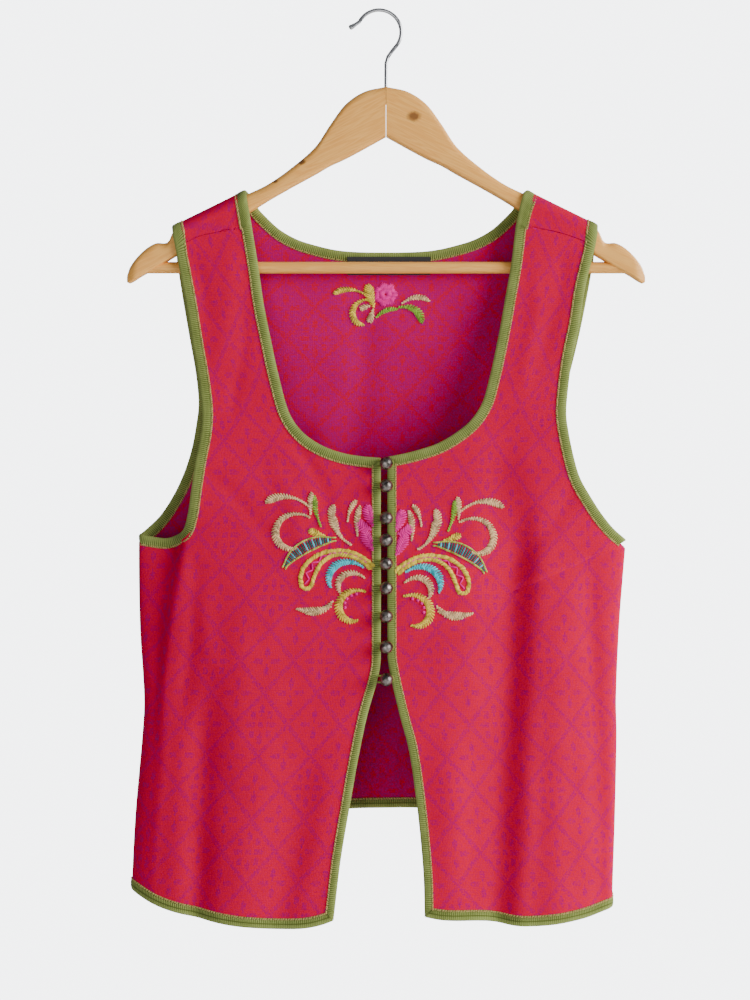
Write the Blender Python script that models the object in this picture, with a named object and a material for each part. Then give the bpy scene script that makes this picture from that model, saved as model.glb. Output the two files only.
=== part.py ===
"""A folk vest of two-colour knitted cloth, buttoned in front and hung on a wooden clothes hanger.

Everything is built in metres, +Z up, with +Y away from the viewer. The origin is the point under
the top of the hook, where a rail or a peg carries the hanger. Sizes below are in millimetres, and
an outline's x is measured from the vest's middle line. Left and right are the viewer's.
"""

import math
from collections import namedtuple

import bmesh
import bpy
from mathutils import Matrix, Vector

MM = 0.001

# Driving sizes
MIDDLE_X = 6.0  # the vest's middle line, beside the hook's highest point
CLOTH = 2.2  # thickness of the knitted cloth
BAND_HALF = 1.9  # half the thickness of the ribbed bindings
BAND = 9.0  # their width at the neck, armholes and hem
FRONT_BAND = 7.5  # their width along the opening
GAP = 0.3  # between pieces at a seam
SEAM_CORNER = 0.97  # share of a binding's width that it takes from a shoulder seam
UNDERARM_MITRE = 1.2  # shares that the armhole's and the hem's bindings take from a side seam
HEM_MITRE = 1.1
CORNER_GAPS = 5  # the gap at those corners, in gaps, where the cloth twists into the side seam
SEAM_HALF = 0.8  # half the gap of the side seams, whose walls meet at a slight angle
ARM_HALF = 7.0  # half the thickness of the hanger's wood
HUG = ARM_HALF + 0.7 + BAND_HALF  # from the hanger's middle plane to the middle of the cloth
RIDGE_LIFT = 3.3  # from the hanger's upper edge to the middle of the cloth on it
SIDE_Y = -8.0  # depth of the side seams
SIDE_ROUND = 2.6  # exponent of the roll of the cloth into the side seams
UNDERARM = (-375.0, -440.0)  # heights between which that roll grows

# Counts of rows and columns
NECK_ROWS = 11
EDGE_ROWS = 19
ARMHOLE_ROWS = 19
SIDE_ROWS = NECK_ROWS + EDGE_ROWS - ARMHOLE_ROWS
BACK_ARMHOLE_ROWS = 13
SEAM_COLUMNS = 7
FRONT_COLUMNS = 2 * SEAM_COLUMNS
NECK_COLUMNS = 14
SIDE_GATHER = 2.2  # how strongly the columns gather towards a side seam
UNDERARM_GATHER = 1.35  # how strongly the rows gather towards the underarm

# Depth of the middle of the front and of the back, by height
Level = namedtuple("Level", "z front back")
DEPTHS = (
    Level(-150, -HUG, HUG),
    Level(-234, -HUG, HUG),
    Level(-275, -14.5, 10.5),
    Level(-325, -22, 12),
    Level(-382, -29, 13.5),
    Level(-450, -34, 14.5),
    Level(-520, -38, 15),
    Level(-640, -42, 16.5),
    Level(-800, -46, 18),
)

# Side seams, by height
Side = namedtuple("Side", "z left right")
SIDES = (
    Side(-440, -209, 204),
    Side(-480, -209, 200.5),
    Side(-526, -208, 197),
    Side(-586, -204.5, 194.5),
    Side(-616, -206, 195),
    Side(-685, -212, 193.5),
    Side(-745, -215, 191.5),
    Side(-770, -215.5, 191),
)

# Step where the left front folds back beside the armhole: its place, and the share of depth lost
Step = namedtuple("Step", "z x share")
LEFT_CREST = (
    Step(-380, -158, 0),
    Step(-405, -161, 0.16),
    Step(-430, -165.5, 0.5),
    Step(-454, -170, 0.62),
    Step(-498, -177.5, 0.58),
    Step(-536, -182.5, 0.42),
    Step(-575, -186, 0.22),
    Step(-640, -190, 0),
)
CREST_WIDTH = 9.0

# Soft folds: a path from top to bottom, its half width, and how far it sinks into the vest
Fold = namedtuple("Fold", "panel x_top z_top x_bottom z_bottom width sink")
FOLDS = (
    Fold("front", 116, -400, 94, -790, 13, 9),
    Fold("front", 170, -440, 181, -740, 10, 5),
    Fold("front", 148, -470, 142, -800, 15, -4),
    Fold("front", -152, -560, -160, -800, 12, 5),
    Fold("front", -118, -480, -128, -800, 20, -3.5),
    Fold("front", -64, -600, -92, -800, 16, 3),
    Fold("front", 52, -600, 66, -800, 18, -3),
    Fold("back", -56, -330, -44, -700, 16, 4.5),
    Fold("back", 36, -330, 54, -700, 15, 4),
    Fold("back", -128, -420, -142, -740, 17, 5),
    Fold("back", 120, -430, 136, -740, 18, 5),
)
FOLD_FADE = 70.0  # length over which a fold grows and fades

# Outlines of the fronts, from the shoulder down, and of the hem from the opening to the side
LEFT = {
    "neck": ((-114.5, -182.5), (-108.5, -219), (-104, -250), (-97, -284), (-91, -311),
             (-81, -345), (-70, -360), (-54, -371), (-38, -377), (-22, -380), (-4.5, -381.5)),
    "edge": ((-4.5, -381.5), (-4.5, -530), (-4.9, -555), (-8.5, -572), (-15, -594),
             (-23, -631), (-31, -676), (-38, -718), (-44, -768)),
    "hem": ((-44, -768), (-53, -771.5), (-66, -774.5), (-85, -775.8), (-111, -774.5),
            (-140, -771), (-178, -763), (-196, -757), (-215, -747)),
    "armhole": ((-179, -203), (-170, -250), (-164, -284), (-157.5, -320), (-155, -343),
                (-156, -361), (-160, -382), (-164, -408), (-167, -428), (-172, -443),
                (-184, -449), (-198, -448), (-209, -446)),
    "seam": ((-114.5, -182.5), (-123, -184), (-131, -187), (-147, -190),
             (-158, -192.5), (-170, -198), (-179, -203)),
    "back armhole": ((-179, -214.4), (-175, -240), (-169, -275), (-163, -310), (-161, -335),
                     (-163, -352), (-167, -373), (-173, -392), (-182, -412), (-194, -431),
                     (-209, -446)),
}
RIGHT = {
    "neck": ((110.5, -182.5), (106, -219), (102, -241), (96, -274), (87, -315), (81, -335),
             (72, -349), (62, -358), (44, -369), (28, -374.5), (12, -378.5), (1, -380.5)),
    "edge": ((1, -380.5), (1, -530), (1.2, -550), (4, -566), (12, -600), (18.5, -624),
             (25, -667), (31, -729), (32, -765)),
    "hem": ((32, -765), (45, -767.5), (83, -769.5), (106, -773), (123, -773.5),
            (143, -772), (166, -768.5), (191, -762)),
    "armhole": ((178, -201), (169, -238), (164, -268), (158, -295), (154, -321), (152, -345),
                (154, -361), (158, -381), (163, -398), (172, -414), (182, -429), (193, -442),
                (204, -451)),
    "seam": ((110.5, -182.5), (119.5, -185), (132, -186.5), (145, -189), (158, -193),
             (170, -197.5), (178, -201)),
    "back armhole": ((178, -212), (173, -240), (166, -275), (158, -308), (152, -330),
                     (151, -345), (153, -362), (158, -383), (166, -402), (177, -421),
                     (190, -438), (204, -451)),
}
BACK_NECK = ((-108.5, -168.4), (-100, -177), (-91, -185), (-77, -193), (-62, -198),
             (-39, -203), (0, -204.5), (39, -203), (62, -198), (77, -193), (91, -185),
             (100, -177), (108.5, -168.4))
BACK_HEM = ((-215, -747), (-203, -744), (-185, -731), (-155, -711), (-108, -692), (-57, -684),
            (-9, -682), (38, -682.5), (90, -690), (132, -710), (160, -735), (177, -754), (191, -761.5))

# Edges of the straps over the hanger: -1 is the foot of the strap behind, 0 to 1 the bend round
# the wood, and 2 the shoulder seam in front
Strap = namedtuple("Strap", "at neck armhole")
LEFT_STRAP = (
    Strap(-1, -108.5, -179),
    Strap(0, -114.5, -181),
    Strap(0.5, -119.5, -182.5),
    Strap(1, -118, -181),
    Strap(2, -114.5, -179),
)
RIGHT_STRAP = (
    Strap(-1, 108.5, 178),
    Strap(0, 113.5, 179.5),
    Strap(0.5, 119.5, 180.5),
    Strap(1, 115.5, 179.4),
    Strap(2, 110.5, 178),
)
STRAP_ROWS = (-1, 0, 1 / 6, 1 / 3, 1 / 2, 2 / 3, 5 / 6, 1, 1.5, 2)

# Hanger arm: upper and lower edge, by distance from the middle
Section = namedtuple("Section", "x top bottom")
ARM = (
    Section(0.15, -64, -106.5),
    Section(19, -68.5, -117),
    Section(35, -79.5, -125.5),
    Section(48, -97, -131.5),
    Section(60, -115, -138.5),
    Section(81, -133.5, -150),
    Section(101, -147.4, -161.5),
    Section(120, -156.6, -173.5),
    Section(150, -171.4, -190.5),
    Section(181, -186.6, -209.5),
    Section(186, -196.5, -212.5),
    Section(196, -197.5, -218.5),
    Section(203, -201, -222.5),
    Section(210, -207, -226.5),
    Section(216, -214, -230.5),
    Section(219.5, -220, -232),
    Section(221, -225, -231),
)
WOOD_TOP = ((90, -140), (101, -147.4), (120, -156.6), (150, -171.4), (183, -187.6))
BAR_Z = -218.5
BAR_HALF = 5.0
BAR_REACH = 207.0
BAR_SIDES = 12

# Hook: a straight stem, then an arc over the rail, then a short tail with a rounded end
WIRE_HALF = 1.6
CROOK_RADIUS = 18.9
CROOK_FROM, CROOK_TO = math.radians(-38), math.radians(152)
CROOK_STEPS = 14
STEM = ((0, -79), (0, -62), (0.1, -44), (1.8, -38.2), (5.4, -33.2))
TAIL = ((-25.8, -10.6, 1.0), (-28.6, -12.4, 1.3), (-30.2, -13.2, 1.5), (-31.4, -13.8, 0.9))

# Ball buttons: heights from the top of the opening, and the shank that leans off the right band
BUTTON_Z = (-386, -405, -432, -450.5, -470, -490.5, -514, -539.5, -566.5)
BALL_HALF = 5.5
SHANK_HALF = 1.2
SHANK_LENGTH = 3.0
SHANK_X = 3.6
LEAN = math.radians(26)
LOOP_HALF = 0.8
LOOP_ROOT = -7.5

# Label inside the back of the neck: rows of height and distance in from the cloth's middle
Row = namedtuple("Row", "z inward")
LABEL_HALF = 0.5
LABEL_X = (-33, 38)
LABEL_COLUMNS = 6
LABEL = (
    Row(-208.5, BAND_HALF + GAP + LABEL_HALF),
    Row(-213.2, BAND_HALF + GAP + LABEL_HALF),
    Row(-216, CLOTH / 2 + GAP + LABEL_HALF),
    Row(-224, CLOTH / 2 + GAP + LABEL_HALF),
)

KNIT = ("red_purple_knit", (0.36, 0.035, 0.06), 0.85, 0.0)
RIB = ("sage_rib_binding", (0.24, 0.26, 0.13), 0.9, 0.0)
WOOD = ("oiled_wood", (0.66, 0.43, 0.22), 0.5, 0.0)
STEEL = ("bright_steel", (0.6, 0.6, 0.62), 0.3, 1.0)
OLD_SILVER = ("antique_silver", (0.2, 0.19, 0.18), 0.35, 1.0)
BLACK_LABEL = ("black_woven", (0.02, 0.02, 0.02), 0.8, 0.0)


def material(spec):
    name, colour, roughness, metallic = spec
    if name in bpy.data.materials:
        return bpy.data.materials[name]
    made = bpy.data.materials.new(name)
    made.use_nodes = True
    shader = made.node_tree.nodes["Principled BSDF"]
    shader.inputs["Base Color"].default_value = (*colour, 1)
    shader.inputs["Roughness"].default_value = roughness
    shader.inputs["Metallic"].default_value = metallic
    return made


def smooth(x):
    """0 below 0, 1 above 1, and an even rise between."""
    x = min(1.0, max(0.0, x))
    return x * x * (3 - 2 * x)


def along(rows, place, at, key, value):
    """A smooth value between a table's rows: cubic spans with the slope of each row's neighbours."""
    rows = sorted(rows, key=lambda row: row[place])
    x = [row[key] for row in rows]
    y = [row[value] for row in rows]
    if at <= x[0]:
        return y[0]
    if at >= x[-1]:
        return y[-1]
    i = next(k for k in range(len(x) - 1) if at <= x[k + 1])
    slope = []
    for k in (i, i + 1):
        low, high = max(0, k - 1), min(len(x) - 1, k + 1)
        slope.append((y[high] - y[low]) / (x[high] - x[low]))
    span = x[i + 1] - x[i]
    s = (at - x[i]) / span
    return (
        y[i] * (1 + 2 * s) * (1 - s) ** 2
        + y[i + 1] * s * s * (3 - 2 * s)
        + span * (slope[0] * s * (1 - s) ** 2 - slope[1] * s * s * (1 - s))
    )


def table(rows, at, column):
    """The named column of a table whose first column is the place."""
    return along(rows, 0, at, 0, rows[0]._fields.index(column))


def wood_top(x):
    return along(WOOD_TOP, 0, abs(x), 0, 1)


def ridge(x):
    """Height of the middle of the cloth where it crosses the hanger."""
    return wood_top(x) + RIDGE_LIFT


def roll(x, z):
    """How much of a panel's depth is left at x: all of it in the middle, none at the side seam."""
    grown = smooth((UNDERARM[0] - z) / (UNDERARM[0] - UNDERARM[1]))
    side = table(SIDES, z, "left" if x < 0 else "right")
    t = min(1.0, abs(x / side)) * grown
    return (1 - t**SIDE_ROUND) ** (1 / SIDE_ROUND) if t < 1 else 0.0


def folds(panel, x, z):
    sink = 0.0
    for fold in FOLDS:
        if fold.panel != panel:
            continue
        down = (fold.z_top - z) / (fold.z_top - fold.z_bottom)
        path = fold.x_top + (fold.x_bottom - fold.x_top) * down
        grown = smooth((fold.z_top - z) / FOLD_FADE)
        sink += fold.sink * grown * math.exp(-(((x - path) / fold.width) ** 2))
    return sink


def front_point(x, z):
    """Middle of the front's cloth at x and z."""
    face = table(DEPTHS, z, "front") + folds("front", x, z)
    step = 0.0
    if x < 0:
        share = table(LEFT_CREST, z, "share")
        step = share * smooth((table(LEFT_CREST, z, "x") - x) / CREST_WIDTH)
    seam = SIDE_Y - SEAM_HALF
    return Vector((x, seam + (face - seam) * roll(x, z) * (1 - step), z))


def back_point(x, w):
    """Middle of the back's cloth, w up the cloth: over the hanger it turns down in front."""
    rise = w - (ridge(x) - HUG)
    if rise <= 0:
        face = table(DEPTHS, w, "back") - folds("back", x, w)
        seam = SIDE_Y + SEAM_HALF
        return Vector((x, seam + (face - seam) * roll(x, w), w))
    turn = rise / HUG
    if turn <= math.pi:
        return Vector((x, HUG * math.cos(turn), ridge(x) - HUG + HUG * math.sin(turn)))
    return Vector((x, -HUG, ridge(x) - HUG - (rise - math.pi * HUG)))


def unrolled(x, z):
    """How far up the back's cloth a point on the front side of the strap lies."""
    return 2 * (ridge(x) - HUG) + math.pi * HUG - z


def facing(surface, x, v, step=1.5):
    """The direction out of the vest at a point of the cloth."""
    across = surface(x + step, v) - surface(x - step, v)
    up = surface(x, v + step) - surface(x, v - step)
    out = across.cross(up).normalized()
    return -out if surface is back_point else out


def stations(points, count, gather=1.0):
    """Count + 1 points on a smooth curve through the given ones, closer together near its end."""
    points = [Vector(p) for p in points]
    ends = [2 * points[0] - points[1]] + points + [2 * points[-1] - points[-2]]
    dense = [points[0]]
    for a, b, c, d in zip(ends, ends[1:], ends[2:], ends[3:]):
        knots = [0.0]
        for p, q in ((a, b), (b, c), (c, d)):
            knots.append(knots[-1] + math.sqrt((q - p).length))
        for k in range(1, 13):
            t = knots[1] + (knots[2] - knots[1]) * k / 12
            row = [a, b, c, d]
            for level in (1, 2, 3):
                row = [
                    row[i].lerp(row[i + 1], (t - low) / (high - low))
                    for i, (low, high) in enumerate(spans(knots, level))
                ]
            dense.append(row[0])
    lengths = [0.0]
    for p, q in zip(dense, dense[1:]):
        lengths.append(lengths[-1] + (q - p).length)
    found = []
    for k in range(count + 1):
        target = lengths[-1] * (1 - (1 - k / count) ** gather)
        i = next(n for n in range(len(dense) - 1) if target <= lengths[n + 1] + 1e-9)
        share = (target - lengths[i]) / (lengths[i + 1] - lengths[i])
        found.append(dense[i].lerp(dense[i + 1], share))
    return found


def spans(knots, level):
    """Knot spans of one level of a curve through four points."""
    if level == 1:
        return list(zip(knots, knots[1:]))
    if level == 2:
        return [(knots[0], knots[2]), (knots[1], knots[3])]
    return [(knots[1], knots[2])]


def inset(loop, offsets):
    """A closed outline moved inwards, each segment by its own distance, with mitred corners."""
    area = sum(p.x * q.y - q.x * p.y for p, q in zip(loop, loop[1:] + loop[:1]))
    turn = 1 if area > 0 else -1
    moved = []
    for i, p in enumerate(loop):
        before, after = (p - loop[i - 1]).normalized(), (loop[(i + 1) % len(loop)] - p).normalized()
        a, b = offsets[i - 1], offsets[i]
        normal_a = Vector((-before.y, before.x)) * turn
        normal_b = Vector((-after.y, after.x)) * turn
        cross = before.x * after.y - before.y * after.x
        if abs(cross) < 0.02:
            moved.append(p + (normal_a * a + normal_b * b) / 2)
            continue
        start, other = p + normal_a * a, p + normal_b * b
        away = other - start
        moved.append(start + before * (away.x * after.y - away.y * after.x) / cross)
    return moved


Edge = namedtuple("Edge", "name kind points")
WIDTHS = {"bound": BAND, "hem": BAND, "front": FRONT_BAND}


class Outline:
    """A panel's outline as edges in order, each with points that end where the next one starts.
    Bound, hem and front edges carry a binding, and seams and sides meet the next panel."""

    def __init__(self, seam_point, *edges):
        self.seam_point = seam_point
        self.edges = edges
        self.loop = [p for edge in edges for p in edge.points[:-1]]

    def moved(self, more):
        """Each edge's points moved inwards by its binding's width and more."""
        offsets = []
        for edge in self.edges:
            width = WIDTHS[edge.kind] + more if edge.kind in WIDTHS else 0.0
            offsets += [GAP / 2 if edge.kind == "seam" else width] * (len(edge.points) - 1)
        loop = inset(self.loop, offsets)
        found, start = {}, 0
        for edge in self.edges:
            count = len(edge.points) - 1
            for end, outer, far in (
                (start, edge.points[0], edge.points[-1]),
                (start + count, edge.points[-1], edge.points[0]),
            ):
                corner = loop[end % len(loop)]
                if edge.kind in ("left", "right"):
                    share = HEM_MITRE if outer.y < far.y else -UNDERARM_MITRE
                    corner.y = outer.y + share * (BAND + CORNER_GAPS * more)
                    corner.x = table(SIDES, corner.y, edge.kind)
                elif edge.kind == "seam":
                    away = math.copysign(SEAM_CORNER * (BAND + more), far.x - outer.x)
                    loop[end % len(loop)] = self.seam_point(outer.x + away)
            start += count
        start = 0
        for edge in self.edges:
            count = len(edge.points) - 1
            run = [loop[(start + k) % len(loop)].copy() for k in range(count + 1)]
            if edge.kind == "hem":
                for k in range(1, count):
                    slope = (edge.points[k + 1] - edge.points[k - 1]).normalized()
                    run[k] = edge.points[k] + Vector((0, (BAND + more) / abs(slope.x)))
            elif edge.kind == "seam":
                run = [
                    self.seam_point(run[0].x + (run[-1].x - run[0].x) * k / SEAM_COLUMNS)
                    for k in range(SEAM_COLUMNS + 1)
                ]
                run = split_in_two(run) if count == FRONT_COLUMNS else run
            elif edge.kind in ("left", "right"):
                run = side_edge(edge.kind, run[0].y, run[-1].y)
            found[edge.name] = run
            start += count
        return found


def patch(start_edge, end_edge, first_row, last_row, settle):
    """Rows of points from start_edge to end_edge. The first row's spacing and bow are gone by the
    row numbered settle, and the last row's bow grows towards the last row."""

    def measured(row):
        chord = row[-1] - row[0]
        shares = [(p - row[0]).dot(chord) / chord.length_squared for p in row]
        bows = [p - row[0] - chord * share for p, share in zip(row, shares)]
        return shares, bows

    first, last = measured(first_row), measured(last_row)
    count = len(start_edge) - 1
    rows = []
    for i, (a, b) in enumerate(zip(start_edge, end_edge)):
        spaced, bent = min(1.0, i / settle), (i / count) ** 3
        row = []
        for j in range(len(first_row)):
            share = first[0][j] + (last[0][j] - first[0][j]) * spaced
            row.append(a + (b - a) * share + first[1][j] * (1 - spaced) ** 2 + last[1][j] * bent)
        rows.append(row)
    rows[0], rows[-1] = list(first_row), list(last_row)
    return rows


def add_object(name, points, faces, spec, smooth_faces=True):
    """A named object at the vest's middle line, from points in millimetres."""
    mesh = bpy.data.meshes.new(name)
    mesh.from_pydata([Vector(p) * MM for p in points], [], faces)
    mesh.materials.append(material(spec))
    made = bpy.data.objects.new(name, mesh)
    made.location.x = MIDDLE_X * MM
    bpy.context.scene.collection.objects.link(made)
    shaped = bmesh.new()
    shaped.from_mesh(mesh)
    bmesh.ops.recalc_face_normals(shaped, faces=shaped.faces)
    shaped.to_mesh(mesh)
    shaped.free()
    if smooth_faces:
        mesh.shade_smooth()
        mesh.set_sharp_from_angle(angle=math.radians(40))
    return made


def panel(name, surface, places, faces):
    """A cloth panel: two faces half its thickness from the surface, and the rim between them."""
    out, within = [], []
    for place in places:
        middle = surface(place.x, place.y)
        half = facing(surface, place.x, place.y) * CLOTH / 2
        out.append(middle + half)
        within.append(middle - half)
    count = len(out)
    edges = {}
    for face in faces:
        for a, b in zip(face, face[1:] + face[:1]):
            edges[a, b] = (b, a)
    rim = [(b, a, a + count, b + count) for a, b in edges if (b, a) not in edges]
    behind = [tuple(count + k for k in reversed(face)) for face in faces]
    return add_object(name, out + within, faces + behind + rim, KNIT)


def grid_faces(rows, columns, number):
    """Quads between numbered rows and columns."""
    return [
        (number(i, j), number(i + 1, j), number(i + 1, j + 1), number(i, j + 1))
        for i in range(rows)
        for j in range(columns)
    ]


def rings(name, sections, spec, closed=False, capped=True):
    """A solid through rings of points, one after the other."""
    size = len(sections[0])
    points = [p for section in sections for p in section]
    count = len(sections) if closed else len(sections) - 1
    faces = []
    for i in range(count):
        for j in range(size):
            a, b = i * size, (i + 1) % len(sections) * size
            k = (j + 1) % size
            faces.append((a + j, a + k, b + k, b + j))
    if capped and not closed:
        faces.append(tuple(range(size)))
        faces.append(tuple(len(points) - 1 - k for k in range(size)))
    return add_object(name, points, faces, spec)


Border = namedtuple("Border", "outer inner normal")


def binding(name, run, closed=False):
    """A ribbed binding along an edge of the cloth, thinner at its outer edge."""
    sections = []
    for out, within, normal in zip(run.outer, run.inner, run.normal):
        half = normal.normalized() * BAND_HALF
        knee = within.lerp(out, 0.78)
        sections.append([
            within + half, knee + half, out + half * 0.5,
            out - half * 0.5, knee - half, within - half,
        ])
    return rings(name, sections, RIB, closed)


def pulled_back(run):
    """A run shortened a little at both ends, to leave the gap of a mitred corner."""
    borders = []
    for border in run[:2]:
        first = border[0] + (border[1] - border[0]).normalized() * GAP
        last = border[-1] + (border[-2] - border[-1]).normalized() * GAP
        borders.append([first, *border[1:-1], last])
    return Border(*borders, run.normal)


def side_edge(side, top_z, bottom_z):
    """Stations down a side seam."""
    found = []
    for k in range(SIDE_ROWS + 1):
        z = top_z + (bottom_z - top_z) * k / SIDE_ROWS
        found.append(Vector((table(SIDES, z, side), z)))
    return found


def split_in_two(points):
    found = [points[0]]
    for p, q in zip(points, points[1:]):
        found += [p.lerp(q, 0.5), q]
    return found


def front_outline(shape, side):
    neck = stations(shape["neck"], NECK_ROWS)
    edge = stations(shape["edge"], EDGE_ROWS)
    hem = stations(shape["hem"], FRONT_COLUMNS, SIDE_GATHER)
    armhole = stations(shape["armhole"], ARMHOLE_ROWS, UNDERARM_GATHER)
    seam = split_in_two(stations(shape["seam"], SEAM_COLUMNS))
    for end in (armhole[-1], hem[-1]):
        end.x = table(SIDES, end.y, side)
    sides = side_edge(side, armhole[-1].y, hem[-1].y)
    return Outline(
        lambda x: Vector((x, along(shape["seam"], 0, x, 0, 1) - GAP / 2)),
        Edge("neck", "bound", neck),
        Edge("edge", "front", edge),
        Edge("hem", "hem", hem),
        Edge("side", side, sides[::-1]),
        Edge("armhole", "bound", armhole[::-1]),
        Edge("seam", "seam", seam[::-1]),
    )


def make_front(name, outline):
    edges = outline.moved(GAP)
    inner = edges["neck"] + edges["edge"][1:]
    outer = (edges["side"] + edges["armhole"][1:])[::-1]
    rows = patch(inner, outer, edges["seam"][::-1], edges["hem"], ARMHOLE_ROWS)
    places = [p for row in rows for p in row]
    width = FRONT_COLUMNS + 1
    panel(name, front_point, places, grid_faces(len(rows) - 1, FRONT_COLUMNS, lambda i, j: i * width + j))


def strap_edge(strap, column, foot, seam_z):
    """Stations up one edge of a strap, from its foot behind to the shoulder seam."""
    found = []
    for at in STRAP_ROWS:
        x = table(strap, at, column)
        start = ridge(x) - HUG
        if at <= 0:
            rise = (foot - start) * -at
        elif at <= 1:
            rise = math.pi * HUG * at
        else:
            rise = math.pi * HUG + (start - seam_z) * (at - 1)
        found.append(Vector((x, start + rise)))
    return found


def back_outline():
    neck = stations(BACK_NECK, NECK_COLUMNS)
    hem = both_sides_gathered(stations(BACK_HEM, 400), NECK_COLUMNS + 2 * SEAM_COLUMNS)
    edges = []
    for shape, strap, side in ((LEFT, LEFT_STRAP, "left"), (RIGHT, RIGHT_STRAP, "right")):
        lower = stations(shape["back armhole"], BACK_ARMHOLE_ROWS, UNDERARM_GATHER)
        upper = strap_edge(strap, "armhole", lower[0].y, shape["seam"][-1][1])
        inner = strap_edge(strap, "neck", BACK_NECK[0][1], shape["seam"][0][1])
        seam = [Vector((p.x, unrolled(p.x, p.y))) for p in stations(shape["seam"], SEAM_COLUMNS)]
        seam[0], seam[-1] = inner[-1], upper[-1]
        lower[-1].x = table(SIDES, lower[-1].y, side)
        sides = side_edge(side, lower[-1].y, shape["hem"][-1][1])
        edges.append((upper[::-1] + lower[1:], sides, inner, seam))
    (left_arm, left_side, left_neck, left_seam), (right_arm, right_side, right_neck, right_seam) = edges
    hem[0], hem[-1] = left_side[-1], right_side[-1]
    return Outline(
        back_seam_point,
        Edge("hem", "hem", hem),
        Edge("right side", "right", right_side[::-1]),
        Edge("right armhole", "bound", right_arm[::-1]),
        Edge("right seam", "seam", right_seam[::-1]),
        Edge("neck", "bound", right_neck[::-1] + neck[::-1][1:-1] + left_neck),
        Edge("left seam", "seam", left_seam),
        Edge("left armhole", "bound", left_arm),
        Edge("left side", "left", left_side),
    )


def back_seam_point(x):
    """A point of a shoulder seam, as a place on the back."""
    shape = LEFT if x < 0 else RIGHT
    return Vector((x, unrolled(x, along(shape["seam"], 0, x, 0, 1) + GAP / 2)))


def both_sides_gathered(dense, count):
    """Count + 1 of the dense points, closer together towards both ends."""
    found = []
    for k in range(count + 1):
        s = k / count
        near = 0.5 * (2 * min(s, 1 - s)) ** SIDE_GATHER
        place = (near if s < 0.5 else 1 - near) * (len(dense) - 1)
        i = min(int(place), len(dense) - 2)
        found.append(dense[i].lerp(dense[i + 1], place - i))
    return found


def make_back(outline):
    """The back with both straps. The body's rows cross the whole panel, and a strap's rows cross
    its own columns only."""
    edges = outline.moved(GAP)
    strap_rows = len(STRAP_ROWS) - 1
    left_arm, right_arm = edges["left armhole"], edges["right armhole"][::-1]
    neck = edges["neck"][::-1]
    left_neck, neckline = neck[: strap_rows + 1], neck[strap_rows:-strap_rows]
    right_neck = neck[-strap_rows - 1 :][::-1]

    def foot(a, b):
        return [a.lerp(b, k / SEAM_COLUMNS) for k in range(SEAM_COLUMNS + 1)]

    left_foot = foot(left_arm[strap_rows], left_neck[-1])
    right_foot = foot(right_neck[-1], right_arm[strap_rows])
    top = left_foot + neckline[1:-1] + right_foot
    left = left_arm[strap_rows:] + edges["left side"][1:]
    right = right_arm[strap_rows:] + edges["right side"][::-1][1:]
    rows = patch(left, right, top, edges["hem"], BACK_ARMHOLE_ROWS)
    width = len(top)
    places = [p for row in rows for p in row]
    faces = grid_faces(len(rows) - 1, width - 1, lambda i, j: i * width + j)
    for start, low, high, seam, ends in (
        (0, left_foot, edges["left seam"][::-1], left_arm, left_neck),
        (width - SEAM_COLUMNS - 1, right_foot, edges["right seam"][::-1], right_neck, right_arm),
    ):
        strap = patch(
            seam[: strap_rows + 1][::-1], ends[: strap_rows + 1][::-1], low, high, strap_rows
        )
        base = len(places)
        places += [p for row in strap[1:] for p in row]
        across = SEAM_COLUMNS + 1

        def number(i, j):
            return start + j if i == 0 else base + (i - 1) * across + j

        faces += [face[::-1] for face in grid_faces(strap_rows, SEAM_COLUMNS, number)]
    panel("back", back_point, places, faces)


def bordered(outline, surface):
    """Each edge's outer and inner border on the cloth, and the way the cloth faces there."""
    within = outline.moved(0)
    borders = {}
    for edge in outline.edges:
        inner = within[edge.name]
        borders[edge.name] = Border(
            [surface(p.x, p.y) for p in edge.points],
            [surface(p.x, p.y) for p in inner],
            [facing(surface, p.x, p.y) for p in inner],
        )
    return borders


def joined(*runs):
    """Runs one after the other, the point where two meet halfway between theirs."""
    made = Border(*(list(part) for part in runs[0]))
    for run in runs[1:]:
        for part, more in zip(made, run):
            part[-1] = part[-1].lerp(more[0], 0.5)
            part += more[1:]
    return made


def turned(run):
    return Border(*(part[::-1] for part in run))


def make_bindings(left, right, back):
    neck = joined(turned(left["neck"]), turned(back["neck"]), right["neck"])
    binding("binding_neck", pulled_back(neck))
    binding("binding_front_left", pulled_back(left["edge"]))
    binding("binding_front_right", pulled_back(right["edge"]))
    armholes = (
        ("left", left["armhole"], turned(back["left armhole"])),
        ("right", right["armhole"], back["right armhole"]),
    )
    for name, front, behind in armholes:
        ring = joined(turned(front), behind)
        for part in ring:
            part[0] = part[0].lerp(part.pop(), 0.5)
        binding("binding_armhole_" + name, ring, closed=True)
    binding("binding_hem", pulled_back(joined(left["hem"], back["hem"], turned(right["hem"]))))


def make_label():
    low, high = LABEL_X
    sides = []
    for face in (-LABEL_HALF, LABEL_HALF):
        rows = []
        for row in LABEL:
            for k in range(LABEL_COLUMNS + 1):
                on_cloth = back_point(low + (high - low) * k / LABEL_COLUMNS, row.z)
                rows.append(on_cloth - Vector((0, row.inward + face, 0)))
        sides.append(rows)
    across = LABEL_COLUMNS + 1
    sections = []
    for i in range(len(LABEL)):
        front = sides[1][i * across : (i + 1) * across]
        behind = sides[0][i * across : (i + 1) * across]
        sections.append(front + behind[::-1])
    rings("label", sections, BLACK_LABEL)


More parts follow.
